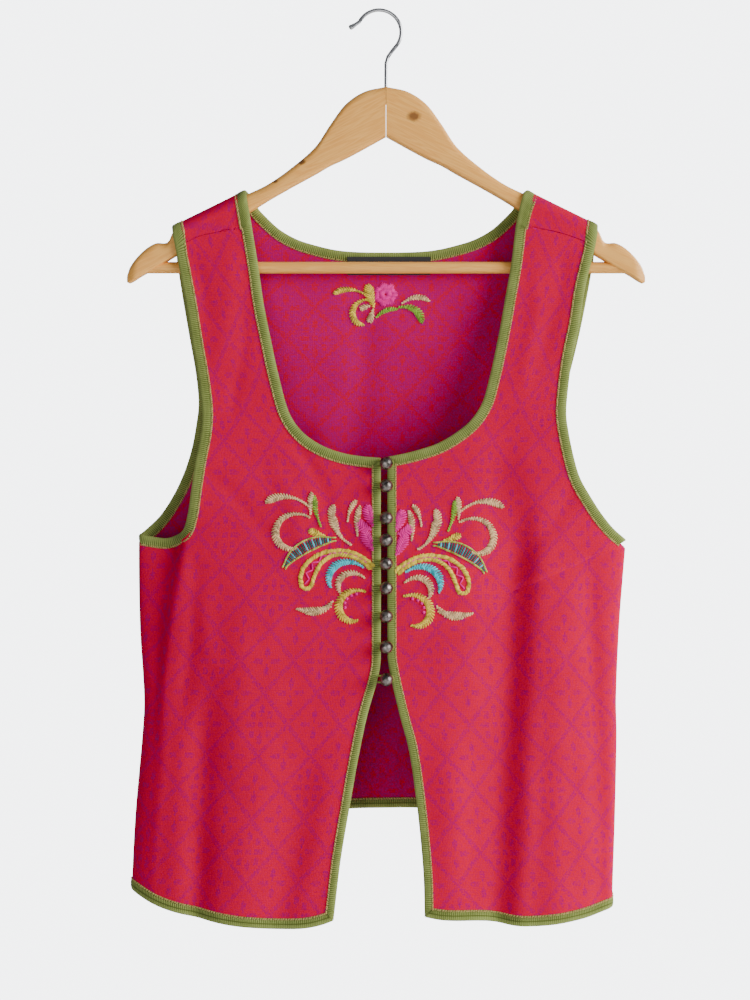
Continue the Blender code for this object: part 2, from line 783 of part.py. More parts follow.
def make_arm(name, side, cutters):
    """Half of the hanger: a shaped board, fully rounded along its upper edge."""
    sections = []
    for x, top, bottom in ARM:
        half = min(ARM_HALF, (top - bottom) / 2)
        bevel = min(2.5, half / 2)
        section = []
        for k in range(5):
            turn = math.pi * k / 4
            across = ARM_HALF * math.cos(turn)
            section.append(Vector((side * x, across, top - half + half * math.sin(turn))))
        for y, z in ((-1, bevel), (-0.72, 0), (0.72, 0), (1, bevel)):
            section.append(Vector((side * x, ARM_HALF * y, bottom + z)))
        sections.append(section)
    arm = rings(name, sections, WOOD)
    for cutter in cutters:
        cut = arm.modifiers.new(cutter.name, "BOOLEAN")
        cut.operation = "DIFFERENCE"
        cut.object = cutter
    return arm


def cylinder(name, radius, start, end, spec, sides=BAR_SIDES):
    """A round bar from one point to another."""
    start, end = Vector(start), Vector(end)
    axis = (end - start).normalized()
    across = axis.orthogonal().normalized()
    sections = []
    for centre in (start, end):
        ring = []
        for k in range(sides):
            turned_by = Matrix.Rotation(2 * math.pi * k / sides, 3, axis)
            ring.append(centre + turned_by @ across * radius)
        sections.append(ring)
    return rings(name, sections, spec)


def hide(cutter):
    cutter.hide_render = True
    cutter.display_type = "WIRE"
    return cutter


def make_hanger():
    reach = BAR_REACH + GAP
    bar_bore = hide(cylinder("bar_bore", BAR_HALF + GAP, (-reach, 0, BAR_Z), (reach, 0, BAR_Z), WOOD))
    stem_bore = hide(cylinder("stem_bore", WIRE_HALF + GAP, (0, 0, STEM[0][1] - GAP), (0, 0, 0), WOOD))
    make_arm("hanger_arm_left", -1, (bar_bore, stem_bore))
    make_arm("hanger_arm_right", 1, (bar_bore, stem_bore))
    cylinder("hanger_bar", BAR_HALF, (-BAR_REACH, 0, BAR_Z), (BAR_REACH, 0, BAR_Z), WOOD)
    centre = Vector((-MIDDLE_X, 0, WIRE_HALF - CROOK_RADIUS))
    path = [(x, z, 1.0) for x, z in STEM]
    for k in range(CROOK_STEPS + 1):
        turn = CROOK_FROM + (CROOK_TO - CROOK_FROM) * k / CROOK_STEPS
        x = centre.x + CROOK_RADIUS * math.cos(turn)
        path.append((x, centre.z + CROOK_RADIUS * math.sin(turn), 1.0))
    path += TAIL
    curve = bpy.data.curves.new("hanger_hook", "CURVE")
    curve.dimensions = "3D"
    curve.bevel_depth = WIRE_HALF * MM
    curve.bevel_resolution = 2
    curve.use_fill_caps = True
    curve.materials.append(material(STEEL))
    spline = curve.splines.new("POLY")
    spline.points.add(len(path) - 1)
    for point, (x, z, swell) in zip(spline.points, path):
        point.co = (x * MM, 0, z * MM, 1)
        point.radius = swell
    hook = bpy.data.objects.new("hanger_hook", curve)
    hook.location.x = MIDDLE_X * MM
    bpy.context.scene.collection.objects.link(hook)


def band_face(x, z):
    """Front face of the bindings beside the opening."""
    return front_point(x, z) - Vector((0, BAND_HALF + GAP, 0))


def make_button(name, z):
    """A ball on a short shank, turned round its own leaning axis."""
    foot = band_face(SHANK_X, z) - Vector((0, SHANK_HALF * math.sin(LEAN), 0))
    axis = Vector((-math.sin(LEAN), -math.cos(LEAN), 0))
    middle = SHANK_LENGTH + BALL_HALF * 0.97
    start = math.asin(SHANK_HALF / BALL_HALF)
    profile = [(SHANK_HALF, 0.0)]
    steps = 6
    for k in range(steps):
        turn = start + (math.pi - start) * k / steps
        profile.append((BALL_HALF * math.sin(turn), middle - BALL_HALF * math.cos(turn)))
    up = Vector((0, 0, 1))
    beside = axis.cross(up)
    sections = []
    for radius, distance in profile:
        ring = []
        for k in range(10):
            turn = 2 * math.pi * k / 10
            ring.append(foot + axis * distance + (up * math.sin(turn) + beside * math.cos(turn)) * radius)
        sections.append(ring)
    rings(name, sections, OLD_SILVER)
    return foot


def make_loop(name, z, foot):
    """A cord loop sewn to the left band, round the shank of its button."""
    y = foot.y + SHANK_HALF * math.sin(LEAN) - LOOP_HALF
    bend = SHANK_HALF + GAP + LOOP_HALF + 0.3
    middle = foot.x - math.tan(LEAN) * (foot.y - y)
    path = [Vector((LOOP_ROOT, y, z + bend))]
    for k in range(5):
        turn = math.pi * (0.5 - k / 4)
        path.append(Vector((middle + bend * math.cos(turn), y, z + bend * math.sin(turn))))
    path.append(Vector((LOOP_ROOT, y, z - bend)))
    sections = []
    for i, centre in enumerate(path):
        run = (path[min(i + 1, len(path) - 1)] - path[max(i - 1, 0)]).normalized()
        side = run.cross(Vector((0, 1, 0)))
        ring = []
        for k in range(6):
            turn = 2 * math.pi * k / 6
            out = side * math.cos(turn) + Vector((0, 1, 0)) * math.sin(turn)
            ring.append(centre + out * LOOP_HALF)
        sections.append(ring)
    rings(name, sections, RIB)


def main():
    for old in list(bpy.data.objects):
        bpy.data.objects.remove(old, do_unlink=True)
    left, right, back = front_outline(LEFT, "left"), front_outline(RIGHT, "right"), back_outline()
    make_front("front_left", left)
    make_front("front_right", right)
    make_back(back)
    make_bindings(
        bordered(left, front_point), bordered(right, front_point), bordered(back, back_point)
    )
    make_label()
    make_hanger()
    for number, z in enumerate(BUTTON_Z, 1):
        foot = make_button(f"button_{number}", z)
        make_loop(f"button_loop_{number}", z, foot)


main()
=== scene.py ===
"""Looks of a folk vest of patterned knit, buttoned in front and hung on a wooden clothes hanger.

Sizes are in millimetres and repeat those of the CAD source, with its outlines and its cloth form.
An outline's x is measured from the vest's middle line. Left and right are the viewer's.
"""

import math
import random
from collections import namedtuple

import bmesh
import bpy
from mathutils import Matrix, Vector


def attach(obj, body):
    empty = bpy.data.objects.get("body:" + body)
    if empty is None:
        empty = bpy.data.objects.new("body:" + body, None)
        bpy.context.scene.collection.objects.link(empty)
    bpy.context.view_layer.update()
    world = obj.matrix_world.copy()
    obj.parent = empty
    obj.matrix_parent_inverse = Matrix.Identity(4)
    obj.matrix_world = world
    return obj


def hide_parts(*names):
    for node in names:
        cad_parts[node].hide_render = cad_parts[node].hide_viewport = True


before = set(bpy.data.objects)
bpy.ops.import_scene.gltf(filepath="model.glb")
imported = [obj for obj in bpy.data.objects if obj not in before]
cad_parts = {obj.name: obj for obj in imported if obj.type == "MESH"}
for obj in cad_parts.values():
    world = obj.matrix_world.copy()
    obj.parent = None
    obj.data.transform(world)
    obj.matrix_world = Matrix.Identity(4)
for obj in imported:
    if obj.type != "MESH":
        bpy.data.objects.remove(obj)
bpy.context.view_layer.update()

MM = 0.001


def rows(kind, *values):
    """A table with named columns."""
    return [kind(*row) for row in values]


# Driving sizes
MIDDLE_X = 6.0  # the vest's middle line, beside the hook's highest point
CLOTH = 2.2  # thickness of the knitted cloth
BAND_HALF = 1.9  # half the thickness of the ribbed bindings
BAND = 9.0  # their width at the neck, armholes and hem
FRONT_BAND = 7.5  # their width along the opening
GAP = 0.3  # between pieces at a seam
SEAM_CORNER = 0.97  # share of a binding's width that it takes from a shoulder seam
UNDERARM_MITRE = 1.2  # shares that the armhole's and the hem's bindings take from a side seam
HEM_MITRE = 1.1
SEAM_HALF = 0.15  # half the gap of the side seams, whose walls meet at a slight angle
ARM_HALF = 7.0  # half the thickness of the hanger's wood
HUG = ARM_HALF + 0.7 + BAND_HALF  # from the hanger's middle plane to the middle of the cloth
RIDGE_LIFT = 3.3  # from the hanger's upper edge to the middle of the cloth on it
SIDE_Y = -8.0  # depth of the side seams
SIDE_ROUND = 2.6  # exponent of the roll of the cloth into the side seams
UNDERARM = (-375.0, -440.0)  # heights between which that roll grows

# Counts of rows and columns
FINE = 4  # of the shells for each one of the CAD panels
NECK_ROWS = 11 * FINE
EDGE_ROWS = 19 * FINE
ARMHOLE_ROWS = 19 * FINE
SIDE_ROWS = NECK_ROWS + EDGE_ROWS - ARMHOLE_ROWS
BACK_ARMHOLE_ROWS = 13 * FINE
SEAM_COLUMNS = 7 * FINE
FRONT_COLUMNS = 2 * SEAM_COLUMNS
NECK_COLUMNS = 14 * FINE
SIDE_GATHER = 2.2  # how strongly the columns gather towards a side seam
UNDERARM_GATHER = 1.35  # how strongly the rows gather towards the underarm

# Depth of the middle of the front and of the back, by height
Level = namedtuple("Level", "z front back")
DEPTHS = rows(
    Level,
    (-150, -HUG, HUG), (-234, -HUG, HUG), (-275, -14.5, 10.5), (-325, -22, 12), (-382, -29, 13.5),
    (-450, -34, 14.5), (-520, -38, 15), (-640, -42, 16.5), (-800, -46, 18),
)

# Side seams, by height
Side = namedtuple("Side", "z left right")
SIDES = rows(
    Side,
    (-440, -209, 204), (-480, -209, 200.5), (-526, -208, 197), (-586, -204.5, 194.5),
    (-616, -206, 195), (-685, -212, 193.5), (-745, -215, 191.5), (-770, -215.5, 191),
)

# Step where the left front folds back beside the armhole: its place, and the share of depth lost
Step = namedtuple("Step", "z x share")
LEFT_CREST = rows(
    Step,
    (-380, -158, 0), (-405, -161, 0.16), (-430, -165.5, 0.5), (-454, -170, 0.62),
    (-498, -177.5, 0.58), (-536, -182.5, 0.42), (-575, -186, 0.22), (-640, -190, 0),
)
CREST_WIDTH = 9.0

# Soft folds: a path from top to bottom, its half width, and how far it sinks into the vest
Fold = namedtuple("Fold", "x_top z_top x_bottom z_bottom width sink")
FOLDS = {
    "front": rows(
        Fold,
        (116, -400, 94, -790, 13, 9), (170, -440, 181, -740, 10, 5),
        (148, -470, 142, -800, 15, -4), (-152, -560, -160, -800, 12, 5),
        (-118, -480, -128, -800, 20, -3.5), (-64, -600, -92, -800, 16, 3),
        (52, -600, 66, -800, 18, -3),
    ),
    "back": rows(
        Fold,
        (-56, -330, -44, -700, 16, 4.5), (36, -330, 54, -700, 15, 4),
        (-128, -420, -142, -740, 17, 5), (120, -430, 136, -740, 18, 5),
    ),
}
FOLD_FADE = 70.0  # length over which a fold grows and fades

# Outlines of the fronts, from the shoulder down, and of the hem from the opening to the side
LEFT = {
    "neck": ((-114.5, -182.5), (-108.5, -219), (-104, -250), (-97, -284), (-91, -311),
             (-81, -345), (-70, -360), (-54, -371), (-38, -377), (-22, -380), (-4.5, -381.5)),
    "edge": ((-4.5, -381.5), (-4.5, -530), (-4.9, -555), (-8.5, -572), (-15, -594),
             (-23, -631), (-31, -676), (-38, -718), (-44, -768)),
    "hem": ((-44, -768), (-53, -771.5), (-66, -774.5), (-85, -775.8), (-111, -774.5),
            (-140, -771), (-178, -763), (-196, -757), (-215, -747)),
    "armhole": ((-179, -203), (-170, -250), (-164, -284), (-157.5, -320), (-155, -343),
                (-156, -361), (-160, -382), (-164, -408), (-167, -428), (-172, -443),
                (-184, -449), (-198, -448), (-209, -446)),
    "seam": ((-114.5, -182.5), (-123, -184), (-131, -187), (-147, -190),
             (-158, -192.5), (-170, -198), (-179, -203)),
    "back armhole": ((-179, -214.4), (-175, -240), (-169, -275), (-163, -310), (-161, -335),
                     (-163, -352), (-167, -373), (-173, -392), (-182, -412), (-194, -431),
                     (-209, -446)),
}
RIGHT = {
    "neck": ((110.5, -182.5), (106, -219), (102, -241), (96, -274), (87, -315), (81, -335),
             (72, -349), (62, -358), (44, -369), (28, -374.5), (12, -378.5), (1, -380.5)),
    "edge": ((1, -380.5), (1, -530), (1.2, -550), (4, -566), (12, -600), (18.5, -624),
             (25, -667), (31, -729), (32, -765)),
    "hem": ((32, -765), (45, -767.5), (83, -769.5), (106, -773), (123, -773.5),
            (143, -772), (166, -768.5), (191, -762)),
    "armhole": ((178, -201), (169, -238), (164, -268), (158, -295), (154, -321), (152, -345),
                (154, -361), (158, -381), (163, -398), (172, -414), (182, -429), (193, -442),
                (204, -451)),
    "seam": ((110.5, -182.5), (119.5, -185), (132, -186.5), (145, -189), (158, -193),
             (170, -197.5), (178, -201)),
    "back armhole": ((178, -212), (173, -240), (166, -275), (158, -308), (152, -330),
                     (151, -345), (153, -362), (158, -383), (166, -402), (177, -421),
                     (190, -438), (204, -451)),
}
BACK_NECK = ((-108.5, -168.4), (-100, -177), (-91, -185), (-77, -193), (-62, -198),
             (-39, -203), (0, -204.5), (39, -203), (62, -198), (77, -193), (91, -185),
             (100, -177), (108.5, -168.4))
BACK_HEM = ((-215, -747), (-203, -744), (-185, -731), (-155, -711), (-108, -692), (-57, -684),
            (-9, -682), (38, -682.5), (90, -690), (132, -710), (160, -735), (177, -754), (191, -761.5))

# Edges of the straps over the hanger: -1 is the foot of the strap behind, 0 to 1 the bend round
# the wood, and 2 the shoulder seam in front
Strap = namedtuple("Strap", "at neck armhole")
LEFT_STRAP = rows(
    Strap,
    (-1, -108.5, -179), (0, -114.5, -181), (0.5, -119.5, -182.5), (1, -118, -181),
    (2, -114.5, -179),
)
RIGHT_STRAP = rows(
    Strap,
    (-1, 108.5, 178), (0, 113.5, 179.5), (0.5, 119.5, 180.5), (1, 115.5, 179.4), (2, 110.5, 178),
)
STRAP_MAIN = (-1, 0, 1 / 6, 1 / 3, 1 / 2, 2 / 3, 5 / 6, 1, 1.5, 2)
STRAP_ROWS = [
    low + (high - low) * k / FINE for low, high in zip(STRAP_MAIN, STRAP_MAIN[1:]) for k in range(FINE)
] + [2]

# Hanger arm: upper and lower edge, by distance from the middle
Section = namedtuple("Section", "x top bottom")
ARM = rows(
    Section,
    (0.15, -64, -106.5), (19, -68.5, -117), (35, -79.5, -125.5), (48, -97, -131.5),
    (60, -115, -138.5), (81, -133.5, -150), (101, -147.4, -161.5), (120, -156.6, -173.5),
    (150, -171.4, -190.5), (181, -186.6, -209.5), (186, -196.5, -212.5), (196, -197.5, -218.5),
    (203, -201, -222.5), (210, -207, -226.5), (216, -214, -230.5), (219.5, -220, -232),
    (221, -225, -231),
)
ARM_STEPS = 110
ARM_BEVEL = 2.5  # of its lower edges
WOOD_TOP = ((90, -140), (101, -147.4), (120, -156.6), (150, -171.4), (183, -187.6))
BAR_Z = -218.5
BAR_HALF = 5.0
BAR_REACH = 207.0
BAR_BEVEL = 0.8

# Hook: a straight stem, then an arc over the rail, then a short tail with a rounded end
WIRE_HALF = 1.6
CROOK_RADIUS = 18.9
CROOK_FROM, CROOK_TO = math.radians(-38), math.radians(152)
CROOK_STEPS = 40
STEM = ((0, -79), (0, -62), (0.1, -44), (1.8, -38.2), (5.4, -33.2))
TAIL = ((-25.8, -10.6, 1.0), (-28.6, -12.4, 1.3), (-30.2, -13.2, 1.5), (-31.4, -13.8, 0.9))

# Ball buttons: heights from the top of the opening, and the shank that leans off the right band
BUTTON_Z = (-386, -405, -432, -450.5, -470, -490.5, -514, -539.5, -566.5)
BALL_HALF = 5.5
SHANK_HALF = 1.2
SHANK_LENGTH = 3.0
SHANK_X = 3.6
LEAN = math.radians(26)
LOOP_HALF = 0.8
LOOP_ROOT = -7.5


def smooth(x):
    """0 below 0, 1 above 1, and an even rise between."""
    x = min(1.0, max(0.0, x))
    return x * x * (3 - 2 * x)


def along(rows, place, at, key, value):
    """A smooth value between a table's rows: cubic spans with the slope of each row's neighbours."""
    rows = sorted(rows, key=lambda row: row[place])
    x = [row[key] for row in rows]
    y = [row[value] for row in rows]
    if at <= x[0]:
        return y[0]
    if at >= x[-1]:
        return y[-1]
    i = next(k for k in range(len(x) - 1) if at <= x[k + 1])
    slope = []
    for k in (i, i + 1):
        low, high = max(0, k - 1), min(len(x) - 1, k + 1)
        slope.append((y[high] - y[low]) / (x[high] - x[low]))
    span = x[i + 1] - x[i]
    s = (at - x[i]) / span
    return (
        y[i] * (1 + 2 * s) * (1 - s) ** 2
        + y[i + 1] * s * s * (3 - 2 * s)
        + span * (slope[0] * s * (1 - s) ** 2 - slope[1] * s * s * (1 - s))
    )


def table(rows, at, column):
    """The named column of a table whose first column is the place."""
    return along(rows, 0, at, 0, rows[0]._fields.index(column))


def wood_top(x):
    """Height of the hanger's upper edge, which the straps lie on."""
    return along(WOOD_TOP, 0, abs(x), 0, 1)


def ridge(x):
    """Height of the middle of the cloth where it crosses the hanger."""
    return wood_top(x) + RIDGE_LIFT


def roll(x, z):
    """How much of a panel's depth is left at x: all of it in the middle, none at the side seam."""
    grown = smooth((UNDERARM[0] - z) / (UNDERARM[0] - UNDERARM[1]))
    side = table(SIDES, z, "left" if x < 0 else "right")
    t = min(1.0, abs(x / side)) * grown
    return (1 - t**SIDE_ROUND) ** (1 / SIDE_ROUND) if t < 1 else 0.0


def folds(panel, x, z):
    """How far the soft folds sink the cloth into the vest at x and z."""
    sink = 0.0
    for fold in FOLDS[panel]:
        down = (fold.z_top - z) / (fold.z_top - fold.z_bottom)
        path = fold.x_top + (fold.x_bottom - fold.x_top) * down
        grown = smooth((fold.z_top - z) / FOLD_FADE)
        sink += fold.sink * grown * math.exp(-(((x - path) / fold.width) ** 2))
    return sink


def front_point(x, z):
    """Middle of the front's cloth at x and z."""
    face = table(DEPTHS, z, "front") + folds("front", x, z)
    step = 0.0
    if x < 0:
        share = table(LEFT_CREST, z, "share")
        step = share * smooth((table(LEFT_CREST, z, "x") - x) / CREST_WIDTH)
    seam = SIDE_Y - SEAM_HALF
    return Vector((x, seam + (face - seam) * roll(x, z) * (1 - step), z))


def back_point(x, w):
    """Middle of the back's cloth, w up the cloth: over the hanger it turns down in front."""
    rise = w - (ridge(x) - HUG)
    if rise <= 0:
        face = table(DEPTHS, w, "back") - folds("back", x, w)
        seam = SIDE_Y + SEAM_HALF
        return Vector((x, seam + (face - seam) * roll(x, w), w))
    turn = rise / HUG
    if turn <= math.pi:
        return Vector((x, HUG * math.cos(turn), ridge(x) - HUG + HUG * math.sin(turn)))
    return Vector((x, -HUG, ridge(x) - HUG - (rise - math.pi * HUG)))


def unrolled(x, z):
    """How far up the back's cloth a point on the front side of the strap lies."""
    return 2 * (ridge(x) - HUG) + math.pi * HUG - z


def facing(surface, x, v, step=1.5):
    """The direction out of the vest at a point of the cloth."""
    across = surface(x + step, v) - surface(x - step, v)
    up = surface(x, v + step) - surface(x, v - step)
    out = across.cross(up).normalized()
    return -out if surface in (back_point, knit_back) else out


def stations(points, count, gather=1.0):
    """Count + 1 points on a smooth curve through the given ones, closer together near its end."""
    points = [Vector(p) for p in points]
    ends = [2 * points[0] - points[1]] + points + [2 * points[-1] - points[-2]]
    dense = [points[0]]
    for a, b, c, d in zip(ends, ends[1:], ends[2:], ends[3:]):
        knots = [0.0]
        for p, q in ((a, b), (b, c), (c, d)):
            knots.append(knots[-1] + math.sqrt((q - p).length))
        for k in range(1, 13):
            t = knots[1] + (knots[2] - knots[1]) * k / 12
            row = [a, b, c, d]
            for level in (1, 2, 3):
                row = [
                    row[i].lerp(row[i + 1], (t - low) / (high - low))
                    for i, (low, high) in enumerate(spans(knots, level))
                ]
            dense.append(row[0])
    lengths = [0.0]
    for p, q in zip(dense, dense[1:]):
        lengths.append(lengths[-1] + (q - p).length)
    found = []
    for k in range(count + 1):
        target = lengths[-1] * (1 - (1 - k / count) ** gather)
        i = next(n for n in range(len(dense) - 1) if target <= lengths[n + 1] + 1e-9)
        share = (target - lengths[i]) / (lengths[i + 1] - lengths[i])
        found.append(dense[i].lerp(dense[i + 1], share))
    return found


def spans(knots, level):
    """Knot spans of one level of a curve through four points."""
    if level == 1:
        return list(zip(knots, knots[1:]))
    if level == 2:
        return [(knots[0], knots[2]), (knots[1], knots[3])]
    return [(knots[1], knots[2])]


def inset(loop, offsets):
    """A closed outline moved inwards, each segment by its own distance, with mitred corners."""
    area = sum(p.x * q.y - q.x * p.y for p, q in zip(loop, loop[1:] + loop[:1]))
    turn = 1 if area > 0 else -1
    moved = []
    for i, p in enumerate(loop):
        before, after = (p - loop[i - 1]).normalized(), (loop[(i + 1) % len(loop)] - p).normalized()
        a, b = offsets[i - 1], offsets[i]
        normal_a = Vector((-before.y, before.x)) * turn
        normal_b = Vector((-after.y, after.x)) * turn
        cross = before.x * after.y - before.y * after.x
        if abs(cross) < 0.02:
            moved.append(p + (normal_a * a + normal_b * b) / 2)
            continue
        start, other = p + normal_a * a, p + normal_b * b
        away = other - start
        moved.append(start + before * (away.x * after.y - away.y * after.x) / cross)
    return moved


Edge = namedtuple("Edge", "name kind points")
WIDTHS = {"bound": BAND, "hem": BAND, "front": FRONT_BAND}


class Outline:
    """A panel's outline as edges in order, each with points that end where the next one starts.
    Bound, hem and front edges carry a binding, and seams and sides meet the next panel."""

    def __init__(self, seam_point, *edges):
        self.seam_point = seam_point
        self.edges = edges
        self.loop = [p for edge in edges for p in edge.points[:-1]]

    def moved(self, more):
        """Each edge's points moved inwards by its binding's width and more."""
        offsets = []
        for edge in self.edges:
            width = WIDTHS[edge.kind] + more if edge.kind in WIDTHS else 0.0
            offsets += [GAP / 2 if edge.kind == "seam" else width] * (len(edge.points) - 1)
        loop = inset(self.loop, offsets)
        found, start = {}, 0
        for edge in self.edges:
            count = len(edge.points) - 1
            for end, outer, far in (
                (start, edge.points[0], edge.points[-1]),
                (start + count, edge.points[-1], edge.points[0]),
            ):
                corner = loop[end % len(loop)]
                if edge.kind in ("left", "right"):
                    share = HEM_MITRE if outer.y < far.y else -UNDERARM_MITRE
                    corner.y = outer.y + share * (BAND + more)
                    corner.x = table(SIDES, corner.y, edge.kind)
                elif edge.kind == "seam":
                    away = math.copysign(SEAM_CORNER * (BAND + more), far.x - outer.x)
                    loop[end % len(loop)] = self.seam_point(outer.x + away)
            start += count
        start = 0
        for edge in self.edges:
            count = len(edge.points) - 1
            run = [loop[(start + k) % len(loop)].copy() for k in range(count + 1)]
            if edge.kind == "hem":
                for k in range(1, count):
                    slope = (edge.points[k + 1] - edge.points[k - 1]).normalized()
                    run[k] = edge.points[k] + Vector((0, (BAND + more) / abs(slope.x)))
            elif edge.kind == "seam":
                run = [
                    self.seam_point(run[0].x + (run[-1].x - run[0].x) * k / SEAM_COLUMNS)
                    for k in range(SEAM_COLUMNS + 1)
                ]
                run = split_in_two(run) if count == FRONT_COLUMNS else run
            elif edge.kind in ("left", "right"):
                run = side_edge(edge.kind, run[0].y, run[-1].y)
            found[edge.name] = run
            start += count
        return found


def patch(start_edge, end_edge, first_row, last_row, settle):
    """Rows of points from start_edge to end_edge. The first row's spacing and bow are gone by the
    row numbered settle, and the last row's bow grows towards the last row."""

    def measured(row):
        chord = row[-1] - row[0]
        shares = [(p - row[0]).dot(chord) / chord.length_squared for p in row]
        bows = [p - row[0] - chord * share for p, share in zip(row, shares)]
        return shares, bows

    first, last = measured(first_row), measured(last_row)
    count = len(start_edge) - 1
    rows = []
    for i, (a, b) in enumerate(zip(start_edge, end_edge)):
        spaced, bent = min(1.0, i / settle), (i / count) ** 3
        row = []
        for j in range(len(first_row)):
            share = first[0][j] + (last[0][j] - first[0][j]) * spaced
            row.append(a + (b - a) * share + first[1][j] * (1 - spaced) ** 2 + last[1][j] * bent)
        rows.append(row)
    rows[0], rows[-1] = list(first_row), list(last_row)
    return rows


def side_edge(side, top_z, bottom_z):
    """Stations down a side seam."""
    found = []
    for k in range(SIDE_ROWS + 1):
        z = top_z + (bottom_z - top_z) * k / SIDE_ROWS
        found.append(Vector((table(SIDES, z, side), z)))
    return found


def split_in_two(points):
    """The same points with one more halfway between each two."""
    found = [points[0]]
    for p, q in zip(points, points[1:]):
        found += [p.lerp(q, 0.5), q]
    return found


def front_outline(shape, side):
    """A front's outline, from its neck down the opening and round."""
    neck = stations(shape["neck"], NECK_ROWS)
    edge = stations(shape["edge"], EDGE_ROWS)
    hem = stations(shape["hem"], FRONT_COLUMNS, SIDE_GATHER)
    armhole = stations(shape["armhole"], ARMHOLE_ROWS, UNDERARM_GATHER)
    seam = split_in_two(stations(shape["seam"], SEAM_COLUMNS))
    for end in (armhole[-1], hem[-1]):
        end.x = table(SIDES, end.y, side)
    sides = side_edge(side, armhole[-1].y, hem[-1].y)
    return Outline(
        lambda x: Vector((x, along(shape["seam"], 0, x, 0, 1) - GAP / 2)),
        Edge("neck", "bound", neck),
        Edge("edge", "front", edge),
        Edge("hem", "hem", hem),
        Edge("side", side, sides[::-1]),
        Edge("armhole", "bound", armhole[::-1]),
        Edge("seam", "seam", seam[::-1]),
    )


def strap_edge(strap, column, foot, seam_z):
    """Stations up one edge of a strap, from its foot behind to the shoulder seam."""
    found = []
    for at in STRAP_ROWS:
        x = table(strap, at, column)
        start = ridge(x) - HUG
        if at <= 0:
            rise = (foot - start) * -at
        elif at <= 1:
            rise = math.pi * HUG * at
        else:
            rise = math.pi * HUG + (start - seam_z) * (at - 1)
        found.append(Vector((x, start + rise)))
    return found


def back_outline():
    """The back's outline, from its hem up the right side, over both straps and down again."""
    neck = stations(BACK_NECK, NECK_COLUMNS)
    hem = both_sides_gathered(stations(BACK_HEM, 400), NECK_COLUMNS + 2 * SEAM_COLUMNS)
    edges = []
    for shape, strap, side in ((LEFT, LEFT_STRAP, "left"), (RIGHT, RIGHT_STRAP, "right")):
        lower = stations(shape["back armhole"], BACK_ARMHOLE_ROWS, UNDERARM_GATHER)
        upper = strap_edge(strap, "armhole", lower[0].y, shape["seam"][-1][1])
        inner = strap_edge(strap, "neck", BACK_NECK[0][1], shape["seam"][0][1])
        seam = [Vector((p.x, unrolled(p.x, p.y))) for p in stations(shape["seam"], SEAM_COLUMNS)]
        seam[0], seam[-1] = inner[-1], upper[-1]
        lower[-1].x = table(SIDES, lower[-1].y, side)
        sides = side_edge(side, lower[-1].y, shape["hem"][-1][1])
        edges.append((upper[::-1] + lower[1:], sides, inner, seam))
    (left_arm, left_side, left_neck, left_seam), (right_arm, right_side, right_neck, right_seam) = edges
    hem[0], hem[-1] = left_side[-1], right_side[-1]
    return Outline(
        back_seam_point,
        Edge("hem", "hem", hem),
        Edge("right side", "right", right_side[::-1]),
        Edge("right armhole", "bound", right_arm[::-1]),
        Edge("right seam", "seam", right_seam[::-1]),
        Edge("neck", "bound", right_neck[::-1] + neck[::-1][1:-1] + left_neck),
        Edge("left seam", "seam", left_seam),
        Edge("left armhole", "bound", left_arm),
        Edge("left side", "left", left_side),
    )


def back_seam_point(x):
    """A point of a shoulder seam, as a place on the back."""
    shape = LEFT if x < 0 else RIGHT
    return Vector((x, unrolled(x, along(shape["seam"], 0, x, 0, 1) + GAP / 2)))


def both_sides_gathered(dense, count):
    """Count + 1 of the dense points, closer together towards both ends."""
    found = []
    for k in range(count + 1):
        s = k / count
        near = 0.5 * (2 * min(s, 1 - s)) ** SIDE_GATHER
        place = (near if s < 0.5 else 1 - near) * (len(dense) - 1)
        i = min(int(place), len(dense) - 2)
        found.append(dense[i].lerp(dense[i + 1], place - i))
    return found


# How the pattern's repeat lies on each panel: across the line x, at height z, v up the cloth
Grain = namedtuple("Grain", "z x width v")
GRAINS = {
    "left": rows(
        Grain,
        (-810, -169, 44.5, -252), (-658, -154.9, 44.5, -104), (-552, -144.4, 44.5, 0),
        (-446, -135.6, 44.5, 104), (-393, -135, 43, 156), (-340, -140, 39, 208),
        (-280, -152, 36, 260), (-170, -172, 36, 352),
    ),
    "right": rows(
        Grain,
        (-810, 153, 44.5, -252), (-660, 140.3, 44.5, -104), (-551.5, 131.1, 44.5, 0),
        (-445, 126.9, 44.5, 104), (-392, 128, 42, 156), (-338, 133, 38, 208),
        (-277, 145.9, 35, 260), (-170, 167, 35, 352),
    ),
    "back": rows(
        Grain,
        (-810, -11, 50, -480), (-100, -11, 50, 230),
    ),
}
GRAIN_MIDDLE = {"left": -100, "right": 100, "back": 0}  # where the pattern lies as in GRAINS
REPEAT_WIDTH, REPEAT_HEIGHT = 47.04, 51.84  # one diamond of the pattern, in whole stitches
STITCH_WIDTH, STITCH_HEIGHT = 1.47, 1.44

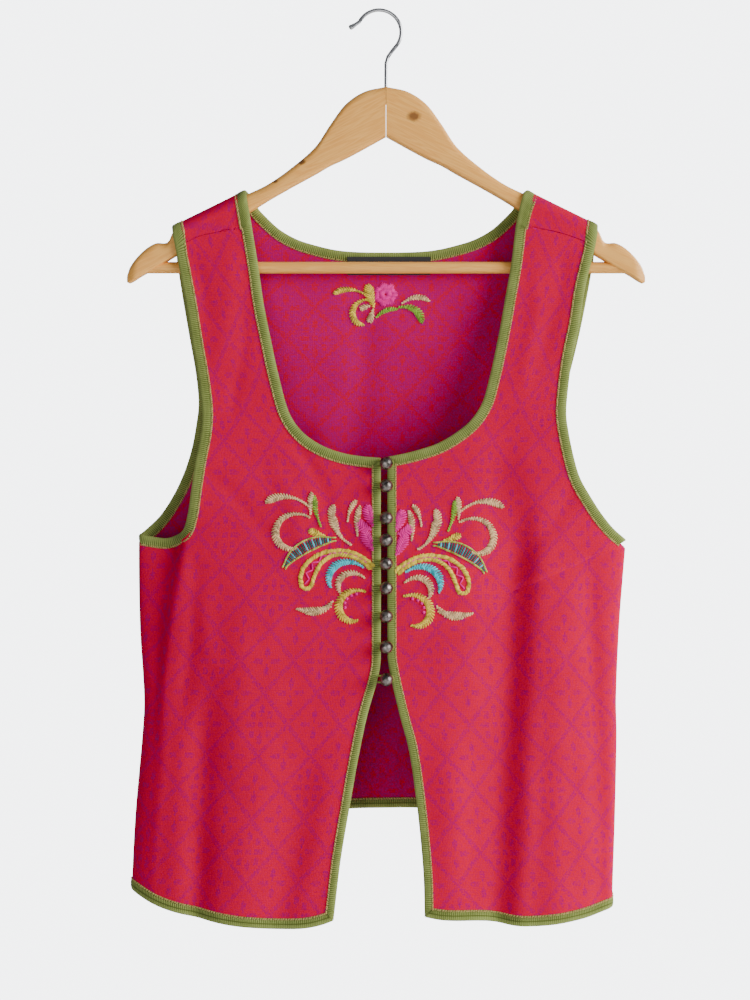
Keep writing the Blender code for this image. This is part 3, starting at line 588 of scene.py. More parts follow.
# Small creases of the cloth: a path, its half width, and how far it stands out of the cloth
Crease = namedtuple("Crease", "x_top z_top x_bottom z_bottom width out")
CREASES = {
    "front": rows(
        Crease,
        (-165, -212, -150, -262, 7, -0.9), (-133, -205, -138, -300, 9, 0.8),
        (-120, -255, -128, -345, 6, -0.7), (-150, -395, -95, -450, 9, -1.2),
        (-172, -470, -140, -560, 8, 1.0), (-95, -520, -105, -700, 10, 1.1),
        (-60, -440, -30, -520, 8, -0.8), (-74, -372, -34, -452, 7, -1.5),
        (-92, -392, -62, -470, 8, 1.1), (-136, -610, -128, -760, 9, -0.7),
        (-188, -560, -194, -745, 5, 1.2), (-48, -650, -70, -765, 8, 1.0),
        (150, -214, 137, -290, 8, -0.9), (96, -400, 75, -800, 18, -6.4),
        (124, -430, 103, -800, 16, 2.8), (-162, -470, -168, -600, 7, -2.0),
        (-160, -700, -158, -790, 9, -1.9), (128, -225, 118, -320, 7, 0.8),
        (158, -405, 118, -470, 9, -1.4), (80, -430, 40, -500, 10, 0.9),
        (60, -560, 72, -745, 9, -1.0), (160, -520, 172, -690, 7, 1.3),
        (118, -640, 114, -770, 7, 1.2), (180, -600, 184, -755, 5, -1.0),
    ),
    "back": rows(
        Crease,
        (-150, -260, -120, -400, 11, -1.9), (-20, -260, -28, -430, 13, 1.7),
        (80, -250, 70, -420, 12, -1.6), (140, -240, 118, -380, 9, 1.5),
        (-100, -470, -112, -670, 12, 2.2), (8, -480, 4, -670, 12, -2.0),
        (96, -500, 104, -680, 11, 2.1), (168, -480, 172, -720, 8, 1.6),
        (-178, -500, -186, -715, 8, -1.7),
    ),
}


CREASE_FADE = 0.2  # share of a crease's length over which it grows, inside and past each end
CREASE_SWAY = 2.5  # how far it sways from its straight path
BACK_FADE = 25.0  # length below the hanger over which the back's creases grow


def crease(panel, x, z):
    """How far the cloth stands out of its plain form at x and z."""
    height = 0.0
    for c in CREASES[panel]:
        share = (c.z_top - z) / (c.z_top - c.z_bottom)
        if not -CREASE_FADE < share < 1 + CREASE_FADE:
            continue
        path = c.x_top + (c.x_bottom - c.x_top) * share + CREASE_SWAY * math.sin(5 * share)
        span = 2 * CREASE_FADE
        grown = smooth((share + CREASE_FADE) / span) * smooth((1 + CREASE_FADE - share) / span)
        height += c.out * grown * math.exp(-(((x - path) / c.width) ** 2))
    return height


def knit_front(x, z):
    """Middle of the front's cloth with its creases."""
    return front_point(x, z) + Vector((0, -crease("front", x, z) * roll(x, z), 0))


def knit_back(x, w):
    """Middle of the back's cloth with its creases."""
    point = back_point(x, w)
    if w < ridge(x) - HUG:
        point.y += crease("back", x, w) * roll(x, w) * smooth((ridge(x) - HUG - w) / BACK_FADE)
    return point


def grain(name, x, v):
    """Place on the pattern, in metres, of a place on a panel."""
    rows = GRAINS[name]
    line, width = table(rows, v, "x"), table(rows, v, "width")
    return (x - line) / width * REPEAT_WIDTH * MM, table(rows, v, "v") * MM


def across_cloth(surface, places, middle):
    """Each place's x as if the cloth lay flat on both sides of the line x = middle."""
    step_x, step_v = 5.0, 15.0
    low_x, low_v = (min(p[k] for p in places) for k in (0, 1))
    columns = int((max(p.x for p in places) - low_x) / step_x) + 2
    rows = int((max(p.y for p in places) - low_v) / step_v) + 2
    zero = (middle - low_x) / step_x
    grid = []
    for r in range(rows):
        row = [surface(low_x + c * step_x, low_v + r * step_v) for c in range(columns)]
        run = [0.0]
        for a, b in zip(row, row[1:]):
            run.append(run[-1] + math.hypot(b.x - a.x, b.y - a.y))
        c = int(zero)
        start = run[c] + (run[c + 1] - run[c]) * (zero - c)
        grid.append([middle + s - start for s in run])
    found = []
    for p in places:
        c, r = (p.x - low_x) / step_x, (p.y - low_v) / step_v
        i, j = int(r), int(c)
        sides = [row[j] + (row[j + 1] - row[j]) * (c - j) for row in grid[i : i + 2]]
        found.append(sides[0] + (sides[1] - sides[0]) * (r - i))
    return found


def linear(red, green, blue):
    """A colour given as 0 to 255 in a picture, as light."""
    found = []
    for value in (red, green, blue):
        value /= 255
        found.append(value / 12.92 if value <= 0.04045 else ((value + 0.055) / 1.055) ** 2.4)
    return (*found, 1)


def dimmed(colour, share):
    """A share of a colour's light."""
    return (*(c * share for c in colour[:3]), 1)


class Value:
    """A number in a material's nodes. Arithmetic with it adds nodes."""

    def __init__(self, tree, socket):
        self.tree, self.socket = tree, socket

    def math(self, operation, *others):
        """The result of one operation on this number and others."""
        node = self.tree.nodes.new("ShaderNodeMath")
        node.operation = operation
        for place, other in zip(node.inputs, (self, *others)):
            if isinstance(other, Value):
                self.tree.links.new(other.socket, place)
            else:
                place.default_value = other
        return Value(self.tree, node.outputs[0])

    def __add__(self, other):
        return self.math("ADD", other)

    def __sub__(self, other):
        return self.math("SUBTRACT", other)

    def __mul__(self, other):
        return self.math("MULTIPLY", other)

    def __abs__(self):
        return self.math("ABSOLUTE")

    def floor(self):
        return self.math("FLOOR")

    def odd(self):
        """1 for an odd whole number and 0 for an even one."""
        return (self * 0.5 + 0.01).math("FRACT").math("GREATER_THAN", 0.25)

    def below(self, limit):
        return self.math("LESS_THAN", limit)

    def above(self, limit):
        return self.math("GREATER_THAN", limit)

    def between(self, low, high):
        return self.above(low) * self.below(high)

    def most(self, other):
        return self.math("MAXIMUM", other)

    def ramp(self, low, high, start=0.0, end=1.0):
        """An even rise from start at low to end at high."""
        node = self.tree.nodes.new("ShaderNodeMapRange")
        node.interpolation_type = "SMOOTHSTEP"
        self.tree.links.new(self.socket, node.inputs["Value"])
        for name, value in (("From Min", low), ("From Max", high), ("To Min", start), ("To Max", end)):
            node.inputs[name].default_value = value
        return Value(self.tree, node.outputs["Result"])


class Look:
    """A Principled material and the nodes that feed it."""

    def __init__(self, name, **settings):
        self.material = bpy.data.materials.new(name)
        self.material.use_nodes = True
        self.tree = self.material.node_tree
        self.shader = self.tree.nodes["Principled BSDF"]
        for key, value in settings.items():
            self.shader.inputs[key.replace("_", " ")].default_value = value

    def node(self, kind, **inputs):
        """A new node with its inputs set, or linked where they are given as outputs."""
        made = self.tree.nodes.new("ShaderNode" + kind)
        for key, value in inputs.items():
            place = made.inputs[key.replace("_", " ")]
            if isinstance(value, Value):
                self.tree.links.new(value.socket, place)
            elif hasattr(value, "is_output"):
                self.tree.links.new(value, place)
            else:
                place.default_value = value
        return made

    def place(self, layer=None):
        """The coordinates of a UV map, or the object's own."""
        if layer:
            node = self.tree.nodes.new("ShaderNodeUVMap")
            node.uv_map = layer
            return node.outputs[0]
        return self.tree.nodes.new("ShaderNodeTexCoord").outputs["Object"]

    def parts(self, vector):
        """The numbers of a vector, in millimetres."""
        node = self.node("SeparateXYZ", Vector=vector)
        return [Value(self.tree, socket) * 1000.0 for socket in node.outputs]

    def scaled(self, vector, scale):
        node = self.node("Mapping", Vector=vector)
        node.inputs["Scale"].default_value = scale
        return node.outputs[0]

    def noise(self, vector, scale, detail=2.0):
        node = self.node("TexNoise", Vector=vector, Scale=scale, Detail=detail)
        return Value(self.tree, node.outputs["Fac"])

    def mix(self, share, first, second):
        """A mix of two colours, each fixed or an output."""
        node = self.tree.nodes.new("ShaderNodeMix")
        node.data_type = "RGBA"
        places = [s for s in node.inputs if s.type == "RGBA"]
        self.tree.links.new(share.socket, node.inputs[0])
        for place, colour in zip(places, (first, second)):
            if hasattr(colour, "is_output"):
                self.tree.links.new(colour, place)
            else:
                place.default_value = colour
        return next(s for s in node.outputs if s.type == "RGBA")

    def colour(self, socket):
        self.tree.links.new(socket, self.shader.inputs["Base Color"])

    def roughness(self, value):
        self.tree.links.new(value.socket, self.shader.inputs["Roughness"])

    def bump(self, height, strength, distance):
        node = self.node("Bump", Height=height, Strength=strength, Distance=distance)
        self.tree.links.new(node.outputs[0], self.shader.inputs["Normal"])


def knit_look(name, ground, motif, flecks, contrast):
    """Two-colour knit, charted in whole stitches: diamonds, with a cross or a star in each."""
    look = Look(name, Roughness=0.95, Specular_IOR_Level=0.05, Sheen_Weight=0.12,
                Sheen_Roughness=0.5, Sheen_Tint=(1.0, 0.1, 0.2, 1))
    uv = look.place("cloth")
    warped = look.node("VectorMath", Vector=uv)
    wander = look.node("TexNoise", Vector=uv, Scale=420.0, Detail=3.0)
    shift = look.node("VectorMath", Vector=wander.outputs["Color"])
    shift.operation = "SCALE"
    shift.inputs["Scale"].default_value = 0.0014
    look.tree.links.new(shift.outputs[0], warped.inputs[1])
    u, v, _ = look.parts(warped.outputs[0])
    column, row = (u * (1 / STITCH_WIDTH)).floor(), (v * (1 / STITCH_HEIGHT)).floor()
    x = column * (STITCH_WIDTH / REPEAT_WIDTH)
    y = row * (STITCH_HEIGHT / REPEAT_HEIGHT)
    a, b = x + y, x - y
    cell_a, cell_b = (a + 0.5).floor(), (b + 0.5).floor()
    a, b = a - cell_a, b - cell_b
    star = (cell_a.odd() + cell_b.odd()).below(0.5)
    across = abs(a + b) * (REPEAT_WIDTH / 2)
    up = abs(a - b) * (REPEAT_HEIGHT / 2)
    # A cross has four pointed arms. A star's arms lie farther out, with a dot in its middle and
    # four beside it. All are in millimetres from the middle.
    high, wide = up - star * 4.2, across - star * 1.6
    upright = (across + abs(high - 7.7) * 0.45).below(2.9) * high.between(2.8, 12.6)
    level = (up + abs(wide - 7.9) * 0.4).below(2.9) * wide.between(3.6, 12.2)
    dots = (across.below(2.2) * up.below(2.4)).most(abs(across - 7.2).below(2.1) * abs(up - 8.2).below(2.7))
    chart = upright.most(level * 0.8).most(dots * star * 0.9)
    line = abs(a).most(abs(b)).above(0.447) * 0.78
    mottle = look.noise(uv, 620.0, 4.0).ramp(0.32, 0.68)
    broken = look.noise(uv, 210.0, 3.0).ramp(0.32, 0.58, 0.45, 1.0)
    share = mottle * flecks + chart.most(line) * broken * (mottle * 0.55 + 0.45) * contrast
    worn = look.noise(uv, 25.0, 3.0).ramp(0.3, 0.7, 0.0, 0.3)
    ground, motif = (look.mix(worn, colour, dimmed(colour, 0.78)) for colour in (ground, motif))
    look.colour(look.mix(share, ground, motif))
    beside = abs((u * (1 / STITCH_WIDTH)).math("FRACT") - 0.5)
    leg = (v * (1 / STITCH_HEIGHT) + beside * 1.1).math("FRACT")
    height = abs(leg - 0.5).ramp(0.0, 0.5, 1.0, 0.0) * beside.ramp(0.5, 0.2)
    fuzz = look.noise(uv, 1100.0, 3.0) * 0.9
    look.bump(height * 0.6 + fuzz, 0.4, 0.0004)
    return look.material


def rib_look(name, colour, dark, seam=0.0):
    """Ribbed tape: ribs across its run with painted shade between them, strongest beside the cloth, painted
    shade at its border on the cloth, and a painted groove shade along its middle as strong as seam.
    """
    look = Look(name, Roughness=0.9, Specular_IOR_Level=0.15, Sheen_Weight=0.04)
    uv = look.place("run")
    along_run, over, _ = look.parts(uv)
    # Painted shade: the tape darkens between its ribs, and towards its border on the cloth
    rib = abs((along_run * (1 / RIB_PITCH)).math("FRACT") - 0.5)
    ribbed = over.ramp(0.45 * BAND, 0.9 * BAND, 1.0, 0.45)
    worn = look.noise(uv, 70.0, 3.0).ramp(0.3, 0.7, 0.0, 0.25)
    share = rib.ramp(0.08, 0.42, 0.95, 0.0) * ribbed + worn + over.ramp(0.0, 0.25 * BAND, 0.2, 0.0)
    # A painted shade of a groove along the tape's middle, as strong as seam
    share = share + abs(over - 0.52 * BAND).ramp(0.2, 0.7, seam, 0.0)
    look.colour(look.mix(share, colour, dark))
    look.bump(look.noise(uv, 1500.0, 2.0) + rib * ribbed, 0.4, 0.0003)
    return look.material


def thread_look(name, colour, depth=0.36):
    """Embroidery thread with a soft shine and small changes of shade from stitch to stitch."""
    look = Look(name, Roughness=0.6, Specular_IOR_Level=0.22, Sheen_Weight=0.04)
    place = look.place()
    shade, _, _ = look.parts(look.place("run"))
    share = shade * 0.9 + look.noise(place, 900.0, 2.0).ramp(0.3, 0.7, -0.1, 0.2)
    look.colour(look.mix(share, colour, dimmed(colour, depth)))
    look.bump(look.noise(place, 2600.0, 1.0), 0.3, 0.0002)
    return look.material


Knot = namedtuple("Knot", "x z size")
KNOTS = (Knot(29.7, -90.3, 4.2), Knot(-66, -129, 2.6), Knot(-88.5, -145.2, 1.8))


def wood_look(name, side, knots):
    """Oiled pine: growth lines along the board, pale and darker bands, and knots."""
    look = Look(name, Roughness=0.42, Specular_IOR_Level=0.3)
    place = look.place()
    turned = look.node("Mapping", Vector=place)
    turned.inputs["Rotation"].default_value = (0, math.radians(-26 * side), 0)
    grain_place = look.scaled(turned.outputs[0], (3.0, 40.0, 40.0))
    bands = look.noise(grain_place, 3.2, 3.0)
    rings_of_growth = abs((bands * 9.0).math("FRACT") - 0.5).ramp(0.0, 0.5)
    fibres = look.noise(look.scaled(turned.outputs[0], (12.0, 300.0, 300.0)), 6.0, 3.0)
    pale, honey, brown = (1.0, 0.51, 0.12, 1), (0.84, 0.34, 0.06, 1), (0.14, 0.045, 0.012, 1)
    colour = look.mix(rings_of_growth * 0.5 + fibres.ramp(0.3, 0.8, 0.0, 0.35), pale, honey)
    x, _, z = look.parts(place)
    for knot in knots:
        aside, above = abs(x - knot.x), abs(z - knot.z)
        far = (aside * aside * 0.55 + above * above).math("SQRT")
        wobble = look.noise(place, 500.0, 2.0) * (knot.size * 0.5)
        near = (far + wobble).ramp(knot.size * 0.7, knot.size * 1.6, 1.0, 0.0)
        colour = look.mix(near * 0.85, colour, brown)
    look.colour(colour)
    look.roughness(fibres.ramp(0.3, 0.7, 0.34, 0.52))
    look.bump(fibres + rings_of_growth * 0.4, 0.15, 0.0004)
    return look.material


def steel_look(name):
    """Bright drawn wire."""
    look = Look(name, Metallic=1.0, Roughness=0.22, Base_Color=linear(196, 197, 200))
    worn = look.noise(look.place(), 300.0, 3.0)
    look.roughness(worn.ramp(0.3, 0.7, 0.14, 0.32))
    look.bump(worn, 0.08, 0.0002)
    return look.material


def old_metal_look(name):
    """Ball buttons of darkened metal, tarnished in patches."""
    look = Look(name, Metallic=1.0, Roughness=0.3)
    place = look.place()
    tarnish = look.noise(place, 260.0, 4.0).ramp(0.35, 0.65)
    look.colour(look.mix(tarnish, (0.3, 0.27, 0.25, 1), (0.075, 0.065, 0.06, 1)))
    look.roughness(look.noise(place, 500.0, 3.0).ramp(0.3, 0.7, 0.26, 0.45))
    look.bump(tarnish, 0.15, 0.0003)
    return look.material


def woven_look(name):
    """Plain black woven tape."""
    look = Look(name, Roughness=0.7, Sheen_Weight=0.3)
    place = look.place()
    x, _, z = look.parts(place)
    weave = abs((x * 2.2).math("FRACT") - 0.5) + abs((z * 2.2).math("FRACT") - 0.5)
    look.colour(look.mix(weave.ramp(0.2, 0.8), linear(18, 17, 18), linear(44, 42, 42)))
    look.bump(weave, 0.4, 0.0003)
    return look.material


def floor_look(name):
    """Pale floor, as bright to the camera as the room behind."""
    look = Look(name, Roughness=0.9, Emission_Color=ROOM_COLOUR)
    look.colour(look.mix(look.noise(look.place(), 3.0), (0.85, 0.85, 0.84, 1), (0.78, 0.78, 0.77, 1)))
    seen = Value(look.tree, look.node("LightPath").outputs["Is Camera Ray"]) * FLOOR_GLOW
    look.tree.links.new(seen.socket, look.shader.inputs["Emission Strength"])
    return look.material


def circle(first, second, sides):
    """Ways to the corners of a regular ring, from the first one towards the second."""
    turns = [2 * math.pi * k / sides for k in range(sides)]
    return [first * math.cos(turn) + second * math.sin(turn) for turn in turns]


class Shape:
    """Points and faces in millimetres, with a material number and UV corners for each face."""

    def __init__(self):
        self.points, self.faces, self.slots, self.corners = [], [], [], []

    def face(self, numbers, slot=0, corners=None):
        self.faces.append(tuple(numbers))
        self.slots.append(slot)
        self.corners.append(corners or [(0.0, 0.0)] * len(numbers))

    def skin(self, rings, slot=0):
        """A closed skin over rings of equally many points, with a face over the first and the last."""
        base, size = len(self.points), len(rings[0])
        self.points += [point for ring in rings for point in ring]
        for i in range(len(rings) - 1):
            a, b = base + i * size, base + (i + 1) * size
            for k in range(size):
                n = (k + 1) % size
                self.face((a + k, b + k, b + n, a + n), slot)
        self.face(range(base, base + size), slot)
        self.face(range(base + len(rings) * size - 1, base + (len(rings) - 1) * size - 1, -1), slot)

    def tube(self, path, radii, sides=5, slot=0, shade=0.3):
        """A round cord along a path, of one shade between 0 and 1."""
        rings = []
        for i, centre in enumerate(path):
            before, after = path[max(i - 1, 0)], path[min(i + 1, len(path) - 1)]
            run = (after - before).normalized()
            side = run.cross(Vector((0, 1, 0)))
            side = side.normalized() if side.length > 0.05 else run.orthogonal().normalized()
            up = side.cross(run).normalized()
            rings.append([centre + way * radii[i] for way in circle(side, up, sides)])
        first = len(self.faces)
        self.skin(rings, slot)
        self.corners[first:] = [[(shade * MM, 0.0)] * len(face) for face in self.faces[first:]]

    def made(self, name, looks, layer=None, sharp=40):
        """The finished object, riding on the one body."""
        mesh = bpy.data.meshes.new(name)
        middle = Vector((MIDDLE_X * MM, 0, 0))
        mesh.from_pydata([Vector(p) * MM + middle for p in self.points], [], self.faces)
        for look in looks:
            mesh.materials.append(look)
        mesh.polygons.foreach_set("material_index", self.slots)
        if layer:
            uv = mesh.uv_layers.new(name=layer)
            flat = [number for corners in self.corners for corner in corners for number in corner]
            uv.data.foreach_set("uv", flat)
        shaped = bmesh.new()
        shaped.from_mesh(mesh)
        bmesh.ops.recalc_face_normals(shaped, faces=shaped.faces)
        shaped.to_mesh(mesh)
        shaped.free()
        mesh.shade_smooth()
        mesh.set_sharp_from_angle(angle=math.radians(sharp))
        obj = bpy.data.objects.new(name, mesh)
        bpy.context.scene.collection.objects.link(obj)
        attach(obj, "root")
        return obj


def shell(name, node, surface, places, faces, grain_name, looks):
    """A thin shell of cloth on its solid's form, patterned outside and reversed inside."""
    middle = bpy.data.meshes.new(name + "_middle")
    middle.from_pydata([surface(p.x, p.y) for p in places], [], faces)
    normals = [v.normal.copy() for v in middle.vertices]
    inside = len(places) // 2
    turn = 1 if normals[inside].dot(facing(surface, *places[inside])) > 0 else -1
    shape = Shape()
    centre = [v.co.copy() for v in middle.vertices]
    for side in (1, -1):
        shape.points += [p + n * turn * side * CLOTH / 2 for p, n in zip(centre, normals)]
    bpy.data.meshes.remove(middle)
    count = len(centre)
    flat = across_cloth(surface, places, GRAIN_MIDDLE[grain_name])
    uv = [grain(grain_name, x, p.y) for x, p in zip(flat, places)]
    edges = set()
    for face in faces:
        shape.face(face, 0, [uv[k] for k in face])
        shape.face([count + k for k in reversed(face)], 1, [uv[k] for k in reversed(face)])
        edges.update(zip(face, face[1:] + face[:1]))
    for a, b in edges:
        if (b, a) not in edges:
            shape.face((b, a, a + count, b + count), 1, [uv[b], uv[a], uv[a], uv[b]])
    obj = shape.made(name, looks, "cloth")
    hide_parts(node)
    return obj


def front_places(outline, under):
    """Places and faces of a front, in rows from the shoulder seam to the hem."""
    edges = outline.moved(-under)
    inner = edges["neck"] + edges["edge"][1:]
    outer = (edges["side"] + edges["armhole"][1:])[::-1]
    rows = patch(inner, outer, edges["seam"][::-1], edges["hem"], ARMHOLE_ROWS)
    width = FRONT_COLUMNS + 1
    places = [p for row in rows for p in row]
    return places, grid_faces(len(rows) - 1, FRONT_COLUMNS, lambda i, j: i * width + j)


def grid_faces(rows, columns, number):
    """Quads between numbered rows and columns."""
    return [
        (number(i, j), number(i + 1, j), number(i + 1, j + 1), number(i, j + 1))
        for i in range(rows)
        for j in range(columns)
    ]


def back_places(outline, under):
    """The back with both straps. The body's rows cross the whole panel, and a strap's rows cross
    its own columns only."""
    edges = outline.moved(-under)
    strap_rows = len(STRAP_ROWS) - 1
    left_arm, right_arm = edges["left armhole"], edges["right armhole"][::-1]
    neck = edges["neck"][::-1]
    left_neck, neckline = neck[: strap_rows + 1], neck[strap_rows:-strap_rows]
    right_neck = neck[-strap_rows - 1 :][::-1]

    def foot(a, b):
        return [a.lerp(b, k / SEAM_COLUMNS) for k in range(SEAM_COLUMNS + 1)]

    left_foot = foot(left_arm[strap_rows], left_neck[-1])
    right_foot = foot(right_neck[-1], right_arm[strap_rows])
    top = left_foot + neckline[1:-1] + right_foot
    left = left_arm[strap_rows:] + edges["left side"][1:]
    right = right_arm[strap_rows:] + edges["right side"][::-1][1:]
    rows = patch(left, right, top, edges["hem"], BACK_ARMHOLE_ROWS)
    width = len(top)
    places = [p for row in rows for p in row]
    faces = grid_faces(len(rows) - 1, width - 1, lambda i, j: i * width + j)
    for start, low, high, seam, ends in (
        (0, left_foot, edges["left seam"][::-1], left_arm, left_neck),
        (width - SEAM_COLUMNS - 1, right_foot, edges["right seam"][::-1], right_neck, right_arm),
    ):
        strap = patch(
            seam[: strap_rows + 1][::-1], ends[: strap_rows + 1][::-1], low, high, strap_rows
        )
        base = len(places)
        places += [p for row in strap[1:] for p in row]
        across = SEAM_COLUMNS + 1

        def number(i, j):
            return start + j if i == 0 else base + (i - 1) * across + j

        faces += [face[::-1] for face in grid_faces(strap_rows, SEAM_COLUMNS, number)]
    return places, faces


Border = namedtuple("Border", "outer inner normal")


def pulled_back(run):
    """A run shortened a little at both ends, to leave the gap of a mitred corner."""
    borders = []
    for border in run[:2]:
        first = border[0] + (border[1] - border[0]).normalized() * GAP
        last = border[-1] + (border[-2] - border[-1]).normalized() * GAP
        borders.append([first, *border[1:-1], last])
    return Border(*borders, run.normal)


def bordered(outline, surface):
    """Each edge's outer and inner border on the cloth, and the way the cloth faces there."""
    within = outline.moved(0)
    borders = {}
    for edge in outline.edges:
        inner = within[edge.name]
        borders[edge.name] = Border(
            [surface(p.x, p.y) for p in edge.points],
            [surface(p.x, p.y) for p in inner],
            [facing(surface, p.x, p.y) for p in inner],
        )
    return borders


def joined(*runs):
    """Runs one after the other, the point where two meet halfway between theirs."""
    made = Border(*(list(part) for part in runs[0]))
    for run in runs[1:]:
        for part, more in zip(made, run):
            part[-1] = part[-1].lerp(more[0], 0.5)
            part += more[1:]
    return made


def turned(run):
    """The same run in the other direction."""
    return Border(*(part[::-1] for part in run))


RIB_PITCH = 1.6
# Section of a binding: from the border inside the panel (0) to the free edge (1), half thickness
PROFILE = (
    (0.0, 1.25), (0.04, 1.6), (0.17, 1.55), (0.25, 1.95), (0.5, 2.1), (0.78, 1.95), (0.93, 1.45), (1.0, 0.7)
)


def resampled(run, step, closed):
    """The same borders at even steps, on smooth curves, with the distance along the run."""
    lists = [list(part) for part in run]
    count = len(lists[0])
    last = count if closed else count - 1
    lengths = [0.0]
    for k in range(last):
        lengths.append(lengths[-1] + (run.outer[(k + 1) % count] - run.outer[k]).length)
    steps = max(2, round(lengths[-1] / step))
    steps += steps % 2
    found = [[], [], []]
    at = 0
    for n in range(steps if closed else steps + 1):
        target = lengths[-1] * n / steps
        while at < last - 1 and lengths[at + 1] < target:
            at += 1
        t = (target - lengths[at]) / (lengths[at + 1] - lengths[at])
        for part, made in zip(lists, found):
            near = [at + k if closed else min(max(at + k, 0), count - 1) for k in (-1, 0, 1, 2)]
            a, b, c, d = (part[k % count] for k in near)
            bend, twist = 2 * a - 5 * b + 4 * c - d, 3 * b - a - 3 * c + d
            made.append(0.5 * (2 * b + (c - a) * t + bend * t**2 + twist * t**3))
    return Border(*found), lengths[-1]


EASING = Border(6, 24, 24)  # passes that round off the kinks of a binding's borders and normals


def eased(points, passes, closed):
    """A run of points with its kinks rounded off and its ends kept."""
    for _ in range(passes):
        after = points[1:] + points[:1]
        before = points[-1:] + points[:-1]
        soft = [p * 0.5 + (a + b) * 0.25 for p, a, b in zip(points, before, after)]
        points = soft if closed else [points[0], *soft[1:-1], points[-1]]
    return points


def bound_edge(name, run, closed, look):
    """A ribbed binding along an edge of the cloth."""
    run, length = resampled(run, RIB_PITCH / 2, closed)
    run = Border(*(eased(part, passes, closed) for part, passes in zip(run, EASING)))
    shape = Shape()
    count = len(run.outer)
    last = count if closed else count - 1
    size = 2 * len(PROFILE)
    for i, (out, within, normal) in enumerate(zip(*run)):
        normal = normal.normalized()
        rib = 0.2 if i % 2 else -0.2
        section = [(share, half + rib * (1 - 0.6 * smooth((share - 0.4) / 0.4))) for share, half in PROFILE]
        section += [(share, -half) for share, half in section[::-1]]
        shape.points += [within.lerp(out, share) + normal * half for share, half in section]
    shares = [share for share, _ in section]
    for i in range(last):
        a, b = i * size, (i + 1) % count * size
        u, next_u = (length * k / last * MM for k in (i, i + 1))
        for k in range(size):
            n = (k + 1) % size
            v, next_v = shares[k] * BAND * MM, shares[n] * BAND * MM
            corners = [(u, v), (u, next_v), (next_u, next_v), (next_u, v)]
            shape.face((a + k, a + n, b + n, b + k), 0, corners)
    if not closed:
        shape.face(range(size))
        shape.face([len(shape.points) - 1 - k for k in range(size)])
    obj = shape.made(name + "_rib", [look], "run")
    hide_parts(name)
    return run, obj


# Stitches that hold a binding: their pitch, half thickness, and the shares of its width between
# which they slant
EDGE_PITCH = 1.7
EDGE_THREAD_HALF = 0.68
EDGE_LOW, EDGE_HIGH = 0.02, 0.15


def half_band(share):
    """Half thickness of a binding at a share of its width."""
    for (low, low_half), (high, high_half) in zip(PROFILE, PROFILE[1:]):
        if low <= share <= high:
            return low_half + (high_half - low_half) * (share - low) / (high - low)


def sew(shape, run):
    """A row of small slanted stitches along a binding's inner border, on both faces."""
    count = len(run.outer)
    long = EDGE_PITCH / (run.outer[1] - run.outer[0]).length
    ends = EDGE_THREAD_HALF * 0.65
    middle = (EDGE_LOW + EDGE_HIGH) / 2
    stitch = ((0.0, EDGE_LOW, -0.15), (0.35, middle, 0.25), (0.7, EDGE_HIGH, -0.15))
    k = 0.5 * long
    while k + 0.7 * long < count - 1:
        for side in (1, -1):
            path = []
            for part, share, lift in stitch:
                i = min(int(k + part * long), count - 1)
                point = run.inner[i].lerp(run.outer[i], share)
                path.append(point + run.normal[i].normalized() * side * (half_band(share) + lift))
            shape.tube(path, (ends, EDGE_THREAD_HALF, ends), 4)
        k += long


# Threads: colour, and the share of it that the darkest stitches keep
Thread = namedtuple("Thread", "name colour depth", defaults=[0.36])
THREADS = (
    Thread("beige", (0.96, 0.64, 0.32, 1)),
    Thread("yellow", (1.0, 0.74, 0.08, 1)),
    Thread("pink", (1.0, 0.01, 0.38, 1), 0.68),
    Thread("turquoise", (0.05, 0.8, 0.95, 1)),
    Thread("green", (0.3, 0.56, 0.05, 1)),
    Thread("lime", (0.6, 0.66, 0.12, 1)),
    Thread("teal", (0.02, 0.2, 0.19, 1)),
)
SLOT = {thread.name: number for number, thread in enumerate(THREADS)}

# Motifs of the embroidery, drawn as arcs: thread, half width, where each starts, out from the
# middle line and up, its heading in degrees from straight out, its length, how far it turns in
# all, and where along it it is widest
Motif = namedtuple("Motif", "thread half out up heading length turn widest")
SPRAY = rows(
    Motif,
    ("beige", 3.8, 63, -423, 40, 41, -80, 0.75), ("beige", 3.8, 62, -432, 28, 66, -235, 0.6),
    ("beige", 2.9, 62, -430, 86, 20, 14, 0.6), ("green", 3.0, 53, -440, 66, 28, 26, 0.7),
    ("beige", 4.0, 27, -455, 28, 42, 88, 0.75), ("beige", 3.2, 35, -449, 55, 20, 30, 0.7),
    ("beige", 2.6, 31, -436, 94, 21, 42, 0.7), ("beige", 3.1, 22.5, -448, 82, 27, 30, 0.6),
    ("yellow", 3.5, 49, -447, 12, 16, 14, 0.6), ("pink", 5.5, 9.2, -440, 62, 20, 30, 0.55),
    ("pink", 5.7, 10.2, -442, 12, 15, 34, 0.5), ("pink", 5.5, 9.2, -460, 58, 21, 20, 0.5),
    ("turquoise", 4.0, 17, -474, 36, 47, -158, 0.55),
    ("beige", 3.4, 16, -483, 42, 38, -176, 0.55), ("yellow", 4.2, 15, -494, 18, 55, -225, 0.55),
    ("beige", 3.4, 44, -506, -20, 31, 38, 0.45), ("beige", 2.9, 43, -501, -52, 27, 62, 0.45),
)
OPEN_CRESCENT = Motif("yellow", 5.6, 9, -475, 46, 82, -152, 0.82)
LADDER_LEAF = Motif("lime", 5.0, 41, -450, -3, 52, -60, 0.5)
# A zigzag runs inside the open crescent, rungs cross the leaf, and dots follow the lower crescent
DOTS = ((23.5, -495.7), (27.8, -497.1), (31.2, -499.6), (33, -503), (33, -507))
SPRAY_MIDDLE = -1.4  # the line from which both sprays grow
RIGHT_SPRAY_DROP = 4.0  # how much lower the right one lies

